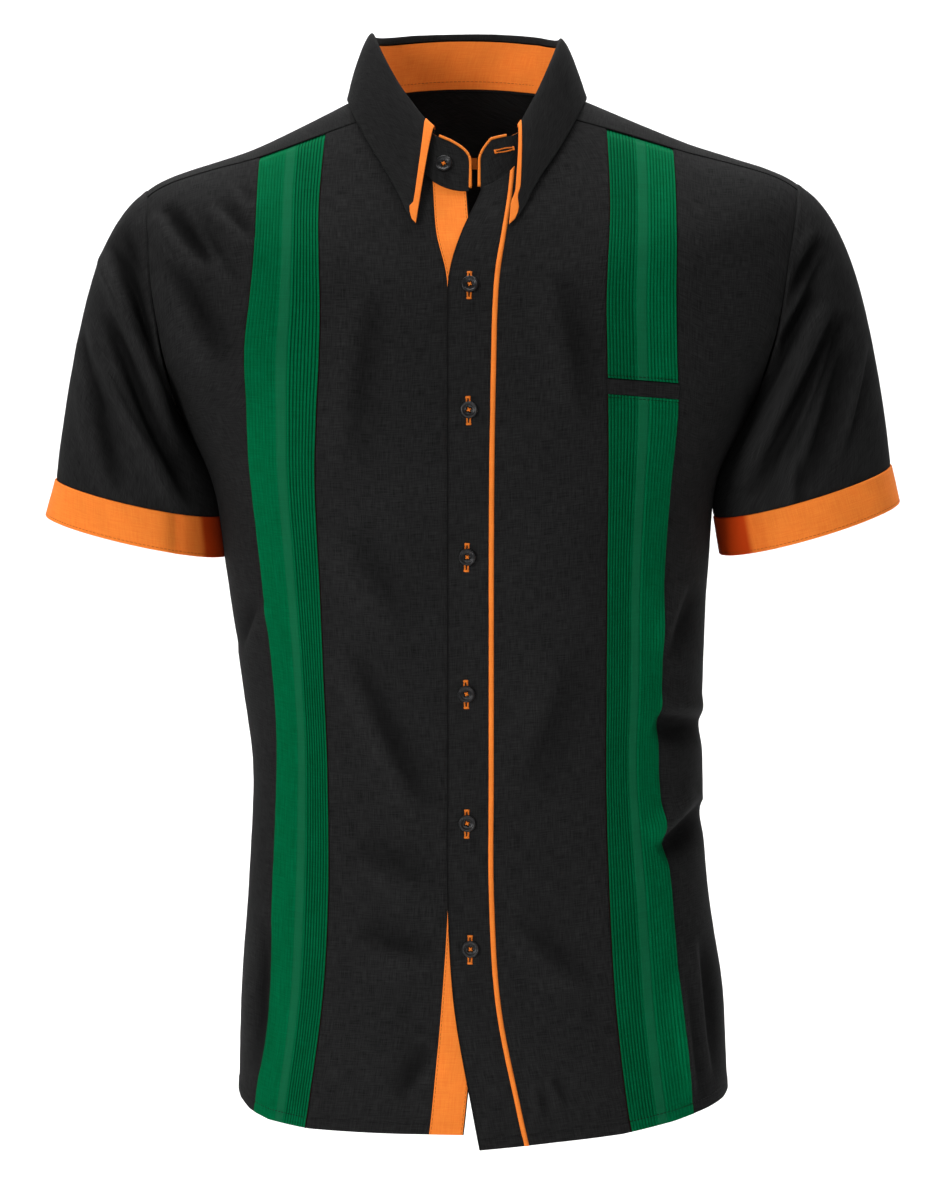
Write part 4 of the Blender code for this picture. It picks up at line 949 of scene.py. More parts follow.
def placketBand():
    shares = spaced(0.028, 1.6 * mm, (0.15, 0.4, 0.8, 1.3, 2.0), (0.5, 1.2))
    grid = bandGrid(frontLine("placketEdge"), frontLine("pipingEdge", 0.6 * mm), "left", shares)
    base = bodySurface(grid[..., 0], grid[..., 1])
    fromEdge = runs(base, 1)
    roll = -0.8 * mm * np.clip(1 - fromEdge / (0.8 * mm), 0, 1) ** 2  # the folded edge is round
    sag = 0.35 * mm * cloudNoise(base * [0.3, 1, 1], 0.035, 21)
    # painted shadow: a dark line along the placket's folded edge, as its fold mark
    edges, marks = {"bottom": "hem", "right": 0.8}, {"fold": bell(fromEdge, 1.3 * mm)}
    rise = opening["placketRise"]
    piece, points = finishPanel("placket", grid, blackPoplin, edges, rise, 1.1 * mm, roll + sag, marks)
    dress(piece, ["placket"])
    return points


def placketPiping():
    # a half-round cord cover: its height over the cloth is a half oval across its width
    shares = (1 - np.cos(np.linspace(0, math.pi, 9))) / 2
    near = 0.2 * mm
    far = near + opening["pipingWidth"]
    grid = bandGrid(frontLine("pipingEdge", near), frontLine("pipingEdge", far), "left", shares)
    oval = np.sqrt(np.clip(1 - (2 * shares - 1) ** 2, 0, 1))[None, :]
    base = bodySurface(grid[..., 0], grid[..., 1])
    ripple = 0.12 * mm * cloudNoise(base * [0.4, 1, 1], 0.006, 23) * oval
    lift = opening["pipingRise"] * oval + ripple
    piece, points = finishPanel("placketPiping", grid, orangePoplin, {}, -0.1 * mm, 0.6 * mm, lift)
    dress(piece, ["placket_piping"])
    return points


def underBand():
    width, inset = opening["underWidth"], -0.8 * mm
    shares = spaced(width, 1.8 * mm, (0.4, 1.0), (0.4, 1.0))
    grid = bandGrid(frontLine("underEdge", inset - width), frontLine("underEdge", inset), "right", shares)
    sink = sinkUnder(bodySurface(grid[..., 0], grid[..., 1])[..., 0])
    piece, points = finishPanel(
        "underPlacket", grid, orangePoplin, {"bottom": "hem"}, 0.55 * mm, 0.5 * mm, sink
    )
    dress(piece, ["under_placket"])
    return points


panelPoints["placket"] = placketBand()
panelPoints["piping"] = placketPiping()
panelPoints["under"] = underBand()
print("front opening made")

# ---- sleeves and cuffs

sleeveShapes = {  # low and high are how the curves set off and arrive under the arm and at the shoulder
    "right": {"side": -1, "topX": -0.2300, "topZ": -0.2775, "bottomX": -0.2317, "bottomZ": -0.3045,
              "topHalf": 0.0585, "bottomHalf": 0.0639, "halfDepth": 0.057, "tilt": 12.8, "lean": 0.13,
              "lowOut": 0.000, "highOut": 0.128, "lowSlant": 0.08, "highSlant": 0.13},
    "left": {"side": 1, "topX": 0.2360, "topZ": -0.2730, "bottomX": 0.2411, "bottomZ": -0.2990,
             "topHalf": 0.0628, "bottomHalf": 0.0636, "halfDepth": 0.057, "tilt": 16.6, "lean": 0.14,
             "lowOut": -0.014, "highOut": 0.132, "lowSlant": 0.20, "highSlant": 0.11},
}
sleeveCurve = {"swing": 0.012, "drop": 0.070, "lowReach": 0.110, "highReach": 0.230}
towardsBody = {
    "right": 2.3 * mm, "left": 3.2 * mm, "spread": 0.50
}  # the cloth under the arm leans on the side
sleeveCloth = {"foldsFrom": 22 * mm, "foldDepth": 1.35, "smoothTurn": 0.6, "calmHem": 16 * mm,
               "capRise": 0.5 * mm, "tuckUnder": 0.9 * mm, "tuckLength": 1.6 * mm, "leanFrom": 2 * mm,
               "leanOver": 11 * mm, "wall": 0.5 * mm}
cuffCloth = {"lift": 0.5 * mm, "waver": 0.45 * mm, "waverSize": 0.022, "rumple": 0.10 * mm,
             "rumpleSize": 0.007, "roll": 0.6 * mm, "rollLength": 0.9 * mm, "stitch": 2.3 * mm,
             "fold": 1.1 * mm, "foldTurn": 1.02, "ridge": 0.5 * mm, "ridgeTurn": 1.20, "wall": 1.0 * mm}
cuffPaintedShadeReach = {"right": 0.68, "left": 0.84}  # how far round from the body the cuffs get painted shade and painted bounce light, deep orange-red


def cuffRing(sleeve, place, turn, rise=0.0):
    # an oval ring: place 0 is the cuff's upper edge and 1 its lower, turn 0 is nearest the body
    tilt = math.radians(sleeve["tilt"])
    inwards = np.array([-sleeve["side"] * math.cos(tilt), 0, -math.sin(tilt)])
    ahead = np.array([0, -1, -sleeve["lean"]])
    top = np.array([sleeve["topX"], 0, sleeve["topZ"]])
    bottom = np.array([sleeve["bottomX"], 0, sleeve["bottomZ"]])
    place, turn = np.broadcast_arrays(np.asarray(place, float), np.asarray(turn, float))
    half = sleeve["topHalf"] + place * (sleeve["bottomHalf"] - sleeve["topHalf"]) + rise
    depth = sleeve["halfDepth"] + rise
    return (top + place[..., None] * (bottom - top) + (half * np.cos(turn))[..., None] * inwards
            + np.asarray(depth * np.sin(turn))[..., None] * ahead)


def sleeveSurface(sleeve, along, turn):
    # a cubic curve at each turn from the armhole to the cuff, with a set direction at both ends
    along, turn = np.broadcast_arrays(np.asarray(along, float), np.asarray(turn, float))
    turn = np.mod(turn, 2 * math.pi)
    near = armhole(sleeve["side"], turn, "front", 0.4 * mm)
    far = armhole(sleeve["side"], 2 * math.pi - turn, "back", 0.4 * mm)
    place = np.where((turn <= math.pi)[..., None], near, far)
    start = bodySurface(place[..., 0], place[..., 1])
    start[..., 0] += sleeve["side"] * 0.4 * mm
    end = cuffRing(sleeve, 0.0, turn)
    outer, swing = (1 - np.cos(turn)) / 2, np.sin(turn)
    out = sleeve["lowOut"] + (sleeve["highOut"] - sleeve["lowOut"]) * outer
    slant = sleeve["lowSlant"] + (sleeve["highSlant"] - sleeve["lowSlant"]) * outer
    reach = sleeveCurve["lowReach"] + (sleeveCurve["highReach"] - sleeveCurve["lowReach"]) * outer
    leave = np.stack([sleeve["side"] * out, sleeveCurve["swing"] * swing, 0 * out - sleeveCurve["drop"]], -1)
    arrive = reach[..., None] * np.stack([sleeve["side"] * slant, 0 * slant, 0 * slant - 1], -1)
    w = along[..., None]
    return (
        start * (1 + 2 * w) * (1 - w) ** 2 + leave * w * (1 - w) ** 2 + end * w * w * (3 - 2 * w)
        + arrive * w * w * (w - 1)
    )


def fromBody(turn):
    return np.minimum(turn, 2 * math.pi - turn)


def makeSleeve(label, sleeve):
    turn = np.linspace(0, 2 * math.pi, 191)[None, :-1]
    rows = spaced(0.20, 2.1 * mm, (0.5, 1.0, 1.8, 2.8, 4.0), (0.5, 1.2, 2.2))[:, None]
    rows = rows * 1.008 - 0.008  # the first rows tuck under the armhole's edge
    base = sleeveSurface(sleeve, rows, turn)
    inRange = np.clip(rows, 0.003, 0.997) + 0 * turn
    outward = surfaceNormals(
        lambda a, b: sleeveSurface(sleeve, a, b), inRange, turn + 0 * rows
    ) * -sleeve["side"]
    up = runs(base, 0)
    down = up[-1:] - up
    fade = eased(up / sleeveCloth["foldsFrom"])
    folds = creaseLift(base, outward, ("sleeveFront", "sleeveBack"))
    calm = 1 - 0.9 * bell(fromBody(turn), sleeveCloth["smoothTurn"])
    folds = sleeveCloth["foldDepth"] * folds * fade * calm
    lift = (folds + 0.8 * unevenness(base) * fade) * np.clip(down / sleeveCloth["calmHem"], 0.15, 1)
    # the cap stands up beside its seam and runs in under it
    lift = lift + sleeveCloth["capRise"] * bell(up - 3 * mm, 2.5 * mm)
    lift = lift - sleeveCloth["tuckUnder"] * np.clip(1 - up / sleeveCloth["tuckLength"], 0, 1)
    leaning = towardsBody[label] * bell(fromBody(turn), towardsBody["spread"])
    lift = lift + leaning * eased((up - sleeveCloth["leanFrom"]) / sleeveCloth["leanOver"])
    lift = lift + pucker(base, up) + seamDip(down, 0.8) + pucker(base, down)
    # the cap's first rows move with the cloth round the armhole
    near = armhole(sleeve["side"], turn[0], "front")
    far = armhole(sleeve["side"], 2 * math.pi - turn[0], "back")
    place = np.where((turn[0] <= math.pi)[:, None], near, far)
    carried = bodyCloth(place[:, 0], place[:, 1])[0] - bodySurface(place[:, 0], place[:, 1])
    points = base + outward * lift[..., None] + carried[None] * (1 - fade)[..., None]
    if sleeve["side"] > 0:
        points, folds = points[:, ::-1], folds[:, ::-1]
    # painted shade in the folds' troughs and a painted highlight on their ridges, as the fold mark
    marks = {"fold": foldShade(folds)}
    piece = sheetOf(label + "Sleeve", points, blackPoplin, sleeveCloth["wall"], closed=True, marks=marks)
    dress(piece, ["sleeve_" + label])
    return makeCuff(label, sleeve, turn, leaning)


def makeCuff(label, sleeve, turn, leaning):
    rows = spaced(0.0285, 1.5 * mm, (0.3, 0.7, 1.2), (0.3, 0.7, 1.2, 2.0, 2.6))[:, None]
    base = cuffRing(sleeve, rows, turn, 0.4 * mm)
    outward = surfaceNormals(
        lambda a, b: cuffRing(sleeve, a, b), rows + 0 * turn, turn + 0 * rows
    ) * -sleeve["side"]
    up, down = runs(base, 0), runs(base[::-1], 0)[::-1]
    lift = cuffCloth["lift"] + cuffCloth["waver"] * cloudNoise(base * [1, 1, 0.4], cuffCloth["waverSize"], 31)
    lift = lift + cuffCloth["rumple"] * cloudNoise(base, cuffCloth["rumpleSize"], 33)
    lift = lift - cuffCloth["roll"] * np.clip(1 - np.minimum(up, down) / cuffCloth["rollLength"], 0, 1) ** 2
    lift = lift - 0.18 * mm * bell(down - cuffCloth["stitch"], 0.45 * mm)
    # by the body the cuff turns in behind a soft upright fold
    lift = lift + leaning - cuffCloth["fold"] * bell(turn - cuffCloth["foldTurn"], 0.07)
    lift = lift + cuffCloth["ridge"] * bell(turn - cuffCloth["ridgeTurn"], 0.10)
    lift = lift - 0.4 * mm * bell(fromBody(turn), 0.3)
    points = base + outward * lift[..., None]
    if sleeve["side"] > 0:
        points = points[:, ::-1]
    # painted shade and painted bounce light: behind that fold the cuff is tinted deep orange-red
    deep = np.clip((cuffPaintedShadeReach[label] - fromBody(turn)) / 0.10, 0, 1)
    deep = deep + 0.2 * np.clip((cuffCloth["foldTurn"] + 0.02 - fromBody(turn)) / 0.03, 0, 1)
    marks = {"fold": np.minimum(deep, 1) + 0 * up}
    piece = sheetOf(label + "Cuff", points, orangePoplin, cuffCloth["wall"], closed=True, marks=marks)
    dress(piece, ["cuff_" + label])
    return points


cuffPointsOf = {label: makeSleeve(label, sleeve) for label, sleeve in sleeveShapes.items()}
print("sleeves and cuffs made")

# ---- collar

standShape = {
    "height": 0.0345, "endHeight": 0.018, "endRound": 0.026, "endLeft": 0.0094, "endRight": 0.0016,
    "lift": 0.8 * mm, "leanFront": 0.010, "leanBack": 0.002
}
standDip = {  # degrees round the neck, and how much lower than at the back the top edge runs there, in mm
    "angle": [0, 13, 24.7, 31, 40, 55, 90, 130, 290, 327, 343, 352, 360],
    "fall": [0, 0, 11.0, 14.8, 11.5, 8.7, 3.0, 0, 0, 0.5, 3.4, 1.0, 0],
}
leafShape = {  # one value a row, from the tip on the wearer's left round the back to the other tip
    "foldAngle": [30.5, 40.0, 55.0, 90.0, 135.0, 180.0, 225.0, 270.0, 307.0, 328.0, 343.0],
    "edgeAngle": [10.0, 24.0, 44.0, 88.0, 135.0, 180.0, 225.0, 272.0, 317.0, 335.5, 347.6],
    "edgeLevel": [12.12, 12.58, 12.74, 12.80, 12.74, 12.70, 12.74, 12.80, 12.72, 12.52, 12.08],
    "clearance": 0.0030, "rollHeight": 0.0105, "rollWidth": 0.0065, "aboveStand": 0.0010,
}
trimShape = {  # how far down the leaf (0 at its fold, 1 at its tip), and how wide the orange trim is there, in mm
    "left": (
        [0.0, 0.20, 0.42, 0.60, 0.88, 0.93, 0.97, 0.985, 1.0],
        [7.0, 6.6, 6.1, 5.4, 4.8, 5.2, 6.4, 5.6, 2.5]
    ),
    "right": (
        [0.0, 0.20, 0.42, 0.72, 0.91, 0.945, 0.965, 0.98, 1.0],
        [9.0, 10.5, 9.8, 6.6, 5.0, 5.0, 8.4, 7.4, 2.8]
    ),
}
jog = {
    "depth": 3.6 * mm, "start": 0.885, "length": 0.035, "reach": 22 * mm
}  # the kink in the left leaf's front edge


def standPoint(angle, height, out=0.0):
    # rises from the neck ring by height times the stand's height, leaning back
    angle, height = np.broadcast_arrays(np.asarray(angle, float), np.asarray(height, float))
    base = bodySurface(neck, angle)
    centre = np.array([ring("middleX", neck), ring("sideY", neck)])
    lean = np.where(np.cos(angle) > 0, standShape["leanFront"], standShape["leanBack"]) * np.cos(angle) ** 2
    flat = base[..., :2].copy()
    flat[..., 1] += height * lean
    outward = flat - centre
    outward = outward / np.linalg.norm(outward, axis=-1, keepdims=True)
    flat = flat + outward * (np.zeros(angle.shape) + out)[..., None]
    return np.stack(
        [flat[..., 0], flat[..., 1], base[..., 2] + standShape["lift"] + height * standShape["height"]],
        -1
    )


standFirst = float(angleAtX(neck, standShape["endLeft"]))
standLast = 2 * math.pi + float(angleAtX(neck, standShape["endRight"]))
standRun = spaced(0.43, 2.2 * mm, (0.2, 0.5, 1.0, 1.7, 2.6, 3.8, 5.2), (0.2, 0.5, 1.0, 1.7, 2.6, 3.8, 5.2))
standAngles = standFirst + (standLast - standFirst) * standRun
neckRun = runs(bodySurface(neck, standAngles), 0)
fromEnd = np.minimum(neckRun, neckRun[-1] - neckRun)
lowShare = standShape["endHeight"] / standShape["height"]
standTops = lowShare + (1 - lowShare) * np.sqrt(
    1 - (1 - np.clip(fromEnd / standShape["endRound"], 0, 1)) ** 2
)


def standFall(angle):
    return np.interp(np.degrees(angle) % 360, standDip["angle"], standDip["fall"]) * mm


def standSheet(name, node, finish, out, wall, foot):
    # the stand from its foot to its rounded top edge
    tops = standTops - standFall(standAngles) / standShape["height"]
    heights = foot + spaced(0.0345, 2.2 * mm, (0.5, 1.2), (0.3, 0.7, 1.4))[:, None] * (tops[None, :] - foot)
    waver = 0.25 * mm * cloudNoise(standPoint(standAngles[None, :], heights), 0.02, 41)
    points = standPoint(standAngles[None, :], heights, out + waver)
    piece = sheetOf(name, points, finish, wall)
    dress(piece, [node])
    return points


standSheet(
    "collarStand", "collar_stand", blackPoplin, 0.0, 1.1 * mm,
    -0.05
)
panelPoints["facing"] = standSheet(
    "standFacing", "stand_facing", orangePoplin, -1.3 * mm, 0.8 * mm,
    0.0
)


def leafPoint(place, run):
    # a cubic curve from the stand's inner top edge, up over the roll and down to the outer edge
    place, run = np.broadcast_arrays(np.asarray(place, float), np.asarray(run, float))
    fold, edge = (np.radians(smooth(leafShape[name], place)) for name in ("foldAngle", "edgeAngle"))
    level = smooth(leafShape["edgeLevel"], place)
    start = standPoint(fold, 1.0 - standFall(fold) / standShape["height"], -2.3 * mm)
    start[..., 2] += leafShape["aboveStand"]
    outward = standPoint(fold, 1.0, 0.001) - standPoint(fold, 1.0, 0.0)
    outward = outward / np.linalg.norm(outward, axis=-1, keepdims=True)
    end = bodySurface(level, edge) + surfaceNormals(bodySurface, level, edge) * leafShape["clearance"]
    up = np.array([0, 0, 1.0])
    second = start + leafShape["rollHeight"] * up
    third = start + leafShape["rollWidth"] * outward + leafShape["rollHeight"] * 0.7 * up
    r = run[..., None]
    return start * (1 - r) ** 3 + second * 3 * r * (1 - r) ** 2 + third * 3 * r * r * (1 - r) + end * r ** 3


def leafCloth(places, rows, out=0.0):
    base = leafPoint(places, rows)
    outward = surfaceNormals(leafPoint, places + 0 * rows, rows + 0 * places)
    waver = 0.5 * mm * cloudNoise(
        base, 0.035, 43
    ) * np.clip(rows * 3, 0, 1) + 0.08 * mm * cloudNoise(base, 0.008, 47)
    return base + outward * (waver + out)[..., None] + kink(places, rows)


def kink(places, rows):
    # below the kink the left leaf's front edge stands further forward, less and less further back
    ramp = eased((rows - jog["start"]) / jog["length"])
    ahead = leafPoint(0.0, rows) - leafPoint(0.1, rows)
    pace = np.linalg.norm(ahead, axis=-1, keepdims=True)
    near = np.clip(1 - np.asarray(places)[..., None] * pace / 0.1 / jog["reach"], 0, 1)
    return ahead / pace * ramp[..., None] * near * jog["depth"]


leafLast = len(leafShape["foldAngle"]) - 1


def leafPace(end):
    # metres along the leaf for one row of its table, at one of its front ends
    inwards = 1 if end == 0 else -1
    return float(np.linalg.norm(leafPoint(end + inwards * 0.1, 0.8) - leafPoint(end, 0.8))) / 0.1


def makeLeaf():
    last = leafLast
    places = (spaced(0.48, 2.0 * mm, (0.3, 0.7, 1.2, 2.0, 3.0), (0.3, 0.7, 1.2, 2.0, 3.0)) * last)[None, :]
    rows = spaced(0.075, 1.6 * mm, (0.5, 1.0), (0.25, 0.6, 1.1, 1.8))[:, None]
    base = leafPoint(places, rows)
    edge = np.minimum(runs(base, 1), runs(base[:, ::-1], 1)[:, ::-1])
    edge = np.minimum(edge, runs(base[::-1], 0)[::-1])
    lift = -0.5 * mm * np.clip(1 - edge / (0.8 * mm), 0, 1) ** 2 - 0.12 * mm * bell(edge - 6 * mm, 0.6 * mm)
    piece = sheetOf("collarLeaf", leafCloth(places, rows, lift)[::-1], blackPoplin, 1.0 * mm)
    dress(piece, ["collar_leaf"])
    for label, node, end in (("left", "collar_trim_left", 0), ("right", "collar_trim_right", last)):
        inwards = 1 if end == 0 else -1
        shares = spaced(0.006, 0.6 * mm, (0.2, 0.5), (0.2, 0.5))[:: inwards][None, :]
        trimRows = (0.10 + 0.895 * spaced(0.07, 1.1 * mm, (0.4,), (0.4, 1.0)))[:, None]
        width = np.interp(trimRows, *trimShape[label]) * mm
        trimPlaces = end + inwards * (0.003 + shares * width / leafPace(end))
        rounding = -0.3 * mm * np.clip(1 - np.minimum(shares, 1 - shares) * width / (0.6 * mm), 0, 1) ** 2
        points = leafCloth(trimPlaces, trimRows, 0.5 * mm + rounding)[::-1]
        piece = sheetOf(label + "CollarTrim", points, orangePoplin, 0.45 * mm)
        dress(piece, [node])


makeLeaf()
print("collar made")

# ---- cords, threads and stitches


def tubeAlong(path, radius, sides=8):
    # a ring of points round each point of the path, square to its direction, as one closed tube
    path = np.asarray(path, float)
    tangent = np.gradient(path, axis=0)
    tangent = tangent / np.linalg.norm(tangent, axis=-1, keepdims=True)
    side = np.cross(tangent, np.where(np.abs(tangent[:, 2:]) > 0.9, [[0, 1.0, 0]], [[0, 0, 1.0]]))
    side = side / np.linalg.norm(side, axis=-1, keepdims=True)
    other = np.cross(tangent, side)
    around = np.linspace(0, 2 * math.pi, sides + 1)[:-1]
    radius = np.broadcast_to(np.asarray(radius, float), (len(path),))[:, None, None]
    rings = path[:, None] + radius * (
        np.cos(around)[None, :, None] * side[:, None] + np.sin(around)[None, :, None] * other[:, None]
    )
    points = np.concatenate([path[:1], rings.reshape(-1, 3), path[-1:]])
    body = gridQuads(len(path), sides, True) + 1
    k = np.arange(sides)
    last = 1 + (len(path) - 1) * sides
    startCap = np.stack([0 * k, 1 + (k + 1) % sides, 1 + k, 0 * k], -1)
    endCap = np.stack(
        [0 * k + len(points) - 1, last + k, last + (k + 1) % sides, 0 * k + len(points) - 1], -1
    )
    return points, body, np.concatenate([startCap, endCap])[:, :3]


def joinTubes(name, tubes, finish):
    allPoints, allTriangles, start = [], [], 0
    for points, quads, caps in tubes:
        allPoints.append(points)
        allTriangles += [quads[:, [0, 1, 2]] + start, quads[:, [0, 2, 3]] + start, caps + start]
        start += len(points)
    triangles = np.concatenate(allTriangles)[:, ::-1]
    return makeMesh(name, np.concatenate(allPoints), triangles, finish)


def standPipings():
    for label, node, angles in (
        ("left", "stand_piping_left", standAngles), ("right", "stand_piping_right", standAngles[::-1])
    ):
        run = runs(bodySurface(neck, angles), 0)
        turn = np.radians(np.linspace(80, 0, 40))
        longR, tallR = standShape["endRound"], standShape["height"] - standShape["endHeight"]
        across, above = tallR * np.cos(turn), longR * np.sin(turn)
        off = 0.9 * mm / np.hypot(across, above)
        inwards = np.append(longR * (1 - np.cos(turn)) - off * across, np.full(14, -off[-1] * tallR))
        up = np.append(
            standShape["endHeight"] + tallR * np.sin(turn) + off * above,
            np.linspace(standShape["endHeight"] - 1 * mm, 0.5 * mm, 14)
        )
        places = np.interp(inwards, run, angles) + np.minimum(inwards, 0) * (angles[5] - angles[0]) / run[5]
        route = standPoint(places, (up - standFall(places)) / standShape["height"], -0.6 * mm)
        radius = np.append(np.full(40, 0.95), np.linspace(0.95, 1.15, 14)) * mm
        piece = joinTubes(label + "StandPiping", [tubeAlong(route, radius, 12)], orangeThread)
        dress(piece, [node])


standPipings()


def atHeight(points, distance):
    # the line across a panel at a set distance up each of its columns
    up = runs(points, 0)
    columns = range(points.shape[1])
    return np.array([[np.interp(distance, up[:, c], points[:, c, k]) for k in range(3)] for c in columns])


stitching = {"long": 2.3 * mm, "gap": 0.7 * mm, "radius": 0.17 * mm,
             "places": np.array([0.0, 0.2, 0.5, 0.8, 1.0]),
             "rise": np.array([[-0.6], [0.35], [0.6], [0.35], [-0.6]]),
             "thick": np.array([0.5, 1, 1, 1, 0.5])}


def rowOfStitches(path, radius=stitching["radius"], towards=(0.0, -1.0, 0.0)):
    # short bulged tubes, one a stitch, at even distances along a path
    long, gap = stitching["long"], stitching["gap"]
    run = runs(path, 0)
    tubes = []
    for start in np.arange(0.5 * gap, run[-1] - long, long + gap):
        places = start + long * stitching["places"]
        line = np.stack([np.interp(places, run, path[:, k]) for k in range(3)], -1)
        line = line + np.array(towards) * radius * stitching["rise"]
        tubes.append(tubeAlong(line, radius * stitching["thick"], 5))
    return tubes


redStitches = []
for key in ("rightStrip", "leftStripLower"):
    redStitches += rowOfStitches(atHeight(panelPoints[key], panelCut["hemStitch"]), radius=0.2 * mm)
redStitches += rowOfStitches(atHeight(panelPoints["leftStripUpper"], tucking["stitch"]), radius=0.2 * mm)
redStitches += rowOfStitches(
    atHeight(panelPoints["leftStripLower"][::-1], tucking["stitch"]), radius=0.2 * mm
)
for key in ("rightStrip", "leftStripUpper", "leftStripLower"):
    for column in (0, -1):
        # one dark line in the ditch beside the strip: partly the seam's thread, partly a painted seam shadow
        edge = panelPoints[key][::2, column] - [0, 0.30 * mm, 0]
        redStitches.append(tubeAlong(edge, 0.42 * mm, 6))
dress(joinTubes("stripThreadAndSeamShadow", redStitches, seamThreadAndShadow), [])

blackStitches = []
for key in ("rightSide", "rightCentre", "leftSide", "leftCentre", "placket"):
    blackStitches += rowOfStitches(atHeight(panelPoints[key], panelCut["hemStitch"]))
blackStitches += rowOfStitches(atHeight(panelPoints["back"], panelCut["hemStitch"]), towards=(0.0, 1.0, 0.0))
dress(joinTubes("hemThread", blackStitches, blackThread), [])
# the orange pieces are sewn with a thread a shade darker than their cloth
brownStitches = []
inside = (standAngles > math.radians(60)) & (standAngles < math.radians(300))
facingPoints = panelPoints["facing"][:, inside] - [0, 0.9 * mm, 0]
brownStitches += rowOfStitches(atHeight(facingPoints, 5.6 * mm), radius=0.16 * mm)
for edge in (2, -3):
    brownStitches += rowOfStitches(panelPoints["under"][::2, edge], radius=0.15 * mm)
for cuff in cuffPointsOf.values():
    brownStitches += rowOfStitches(atHeight(cuff[::-1], cuffCloth["stitch"]), radius=0.16 * mm)
dress(joinTubes("trimThread", brownStitches, brownThread), [])


tagShape = {
    "level": 11.86, "x": 0.0052, "forward": 3.0 * mm, "halfWidth": 1.9 * mm, "halfHeight": 4.2 * mm,
    "bulge": 0.6 * mm
}


def plainTag():
    # the small bare loop of tape sewn in behind the neck
    wide, tall = tagShape["halfWidth"], tagShape["halfHeight"]
    middle = bodySurface(tagShape["level"], math.pi)
    middle += [tagShape["x"] - ring("middleX", tagShape["level"]), -tagShape["forward"], 0]
    across, up = np.meshgrid(np.linspace(-wide, wide, 7), np.linspace(-tall, tall, 13))
    depth = -tagShape["bulge"] * np.cos(up / tall * math.pi / 2)
    points = np.stack([middle[0] + across, middle[1] + depth, middle[2] + up], -1)
    dress(sheetOf("plainTag", points, orangePoplin, 0.4 * mm), [])


plainTag()
print("seam and hem threads made")

# ---- buttons and buttonholes

buttonShape = {"radius": 5.75 * mm, "thick": 2.4 * mm, "holeOut": 1.45 * mm, "holeRadius": 0.8 * mm}
buttonPlaces = [
    (0.0021, -0.1387), (0.0015, -0.2231), (0.0004, -0.3210), (-0.0001, -0.4127), (0.0004, -0.4997),
    (0.0026, -0.5836)
]


def placeFrame(middle, normal, up=(0, 0, 1)):
    normal = np.asarray(normal, float) / np.linalg.norm(normal)
    right = np.cross(up, normal)
    right = right / np.linalg.norm(right)
    return np.stack([right, np.cross(normal, right), normal], -1), np.asarray(middle, float)


def makeButton(name, node, middle, normal, turned):
    # a polar grid: a dished face inside a round rim, four smooth dimples for the holes, closed behind
    r = np.concatenate([np.linspace(0, 0.62, 15), np.linspace(0.66, 1.0, 8), [0.985, 0.9, 0.6, 0.0]])
    a = np.linspace(0, 2 * math.pi, 49)[:-1]
    face = np.interp(
        np.linspace(0, 1, 201), [0, 0.5, 0.66, 0.76, 0.9, 0.975, 1.0],
        [0.60, 0.62, 0.72, 0.98, 1.0, 0.82, 0.5]
    )
    height = np.interp(r[:23], np.linspace(0, 1, 201), face)
    height = np.concatenate([height, [0.3, 0.02, 0.0, 0.0]])
    x, y = r[:, None] * np.cos(a) * buttonShape["radius"], r[:, None] * np.sin(a) * buttonShape["radius"]
    z = np.repeat(height[:, None], len(a), 1) * buttonShape["thick"]
    for k in range(4):
        angle = turned + math.pi / 4 + k * math.pi / 2
        away = np.hypot(
            x - buttonShape["holeOut"] * math.cos(angle), y - buttonShape["holeOut"] * math.sin(angle)
        )
        z[:23] -= 1.1 * mm * np.clip(
            1.25 - away[:23] / buttonShape["holeRadius"], 0, 1
        ) ** 0.5 * (r[:23, None] < 0.6)
    turnTo, place = placeFrame(middle, normal)
    points = np.stack([x, y, z], -1) @ turnTo.T + place
    piece = makeMesh(name, points, gridQuads(len(r), len(a), True), buttonPlastic)
    weld = piece.modifiers.new("closed middle", "WELD")
    weld.merge_threshold = 0.00001
    dress(piece, [node])
    threads = []
    for pair in ((0, 2), (1, 3)):
        ends = [turned + math.pi / 4 + k * math.pi / 2 for k in pair]
        start, end = (np.array([math.cos(e), math.sin(e)]) * buttonShape["holeOut"] for e in ends)
        for shift in (-0.22, 0.22):
            t = np.linspace(0, 1, 9)[:, None]
            sideways = np.array(
                [-(end - start)[1], (end - start)[0]]
            ) / np.linalg.norm(end - start) * shift * mm
            flat = start + (end - start) * t + sideways
            arch = buttonShape["thick"] * 0.62 + (0.55 * np.sin(math.pi * t) ** 0.5 - 0.25) * mm
            threads.append(tubeAlong(np.concatenate([flat, arch], 1) @ turnTo.T + place, 0.24 * mm, 6))
    return threads


def makeButtonhole(middle, normal, long, wide, turned=0.0):
    # close bars of thread down both sides of a slit, and a bar tack across each end
    turnTo, place = placeFrame(middle, normal)
    c, s = math.cos(turned), math.sin(turned)
    spin = np.array([[c, -s], [s, c]])
    tubes = []

    def bar(x0, y0, x1, y1, radius=0.22):
        t = np.linspace(0, 1, 5)[:, None]
        flat = (np.array([[x0, y0]]) * (1 - t) + np.array([[x1, y1]]) * t) @ spin.T * mm
        tubes.append(
            tubeAlong(
                np.concatenate([flat, (0.1 + 0.25 * np.sin(math.pi * t)) * mm], 1) @ turnTo.T + place,
                radius * mm * np.array([0.6, 1, 1, 1, 0.6]), 5
            )
        )

    for number, y in enumerate(np.arange(-long / 2, long / 2, 0.42)):
        gape = 0.25 + 0.5 * max(0.0, 1 - abs(y) / (long / 2)) ** 0.7
        jitter = 0.12 * math.sin(number * 2.4)
        bar(gape, y, gape + wide + jitter, y + 0.1)
        bar(-gape, y + 0.2, -gape - wide - jitter, y + 0.1)
    for y in (-long / 2, long / 2):
        for k in range(4):
            bar(-wide - 0.55, y + (k - 1.5) * 0.34, wide + 0.55, y + (k - 1.5) * 0.34, 0.26)
    return tubes


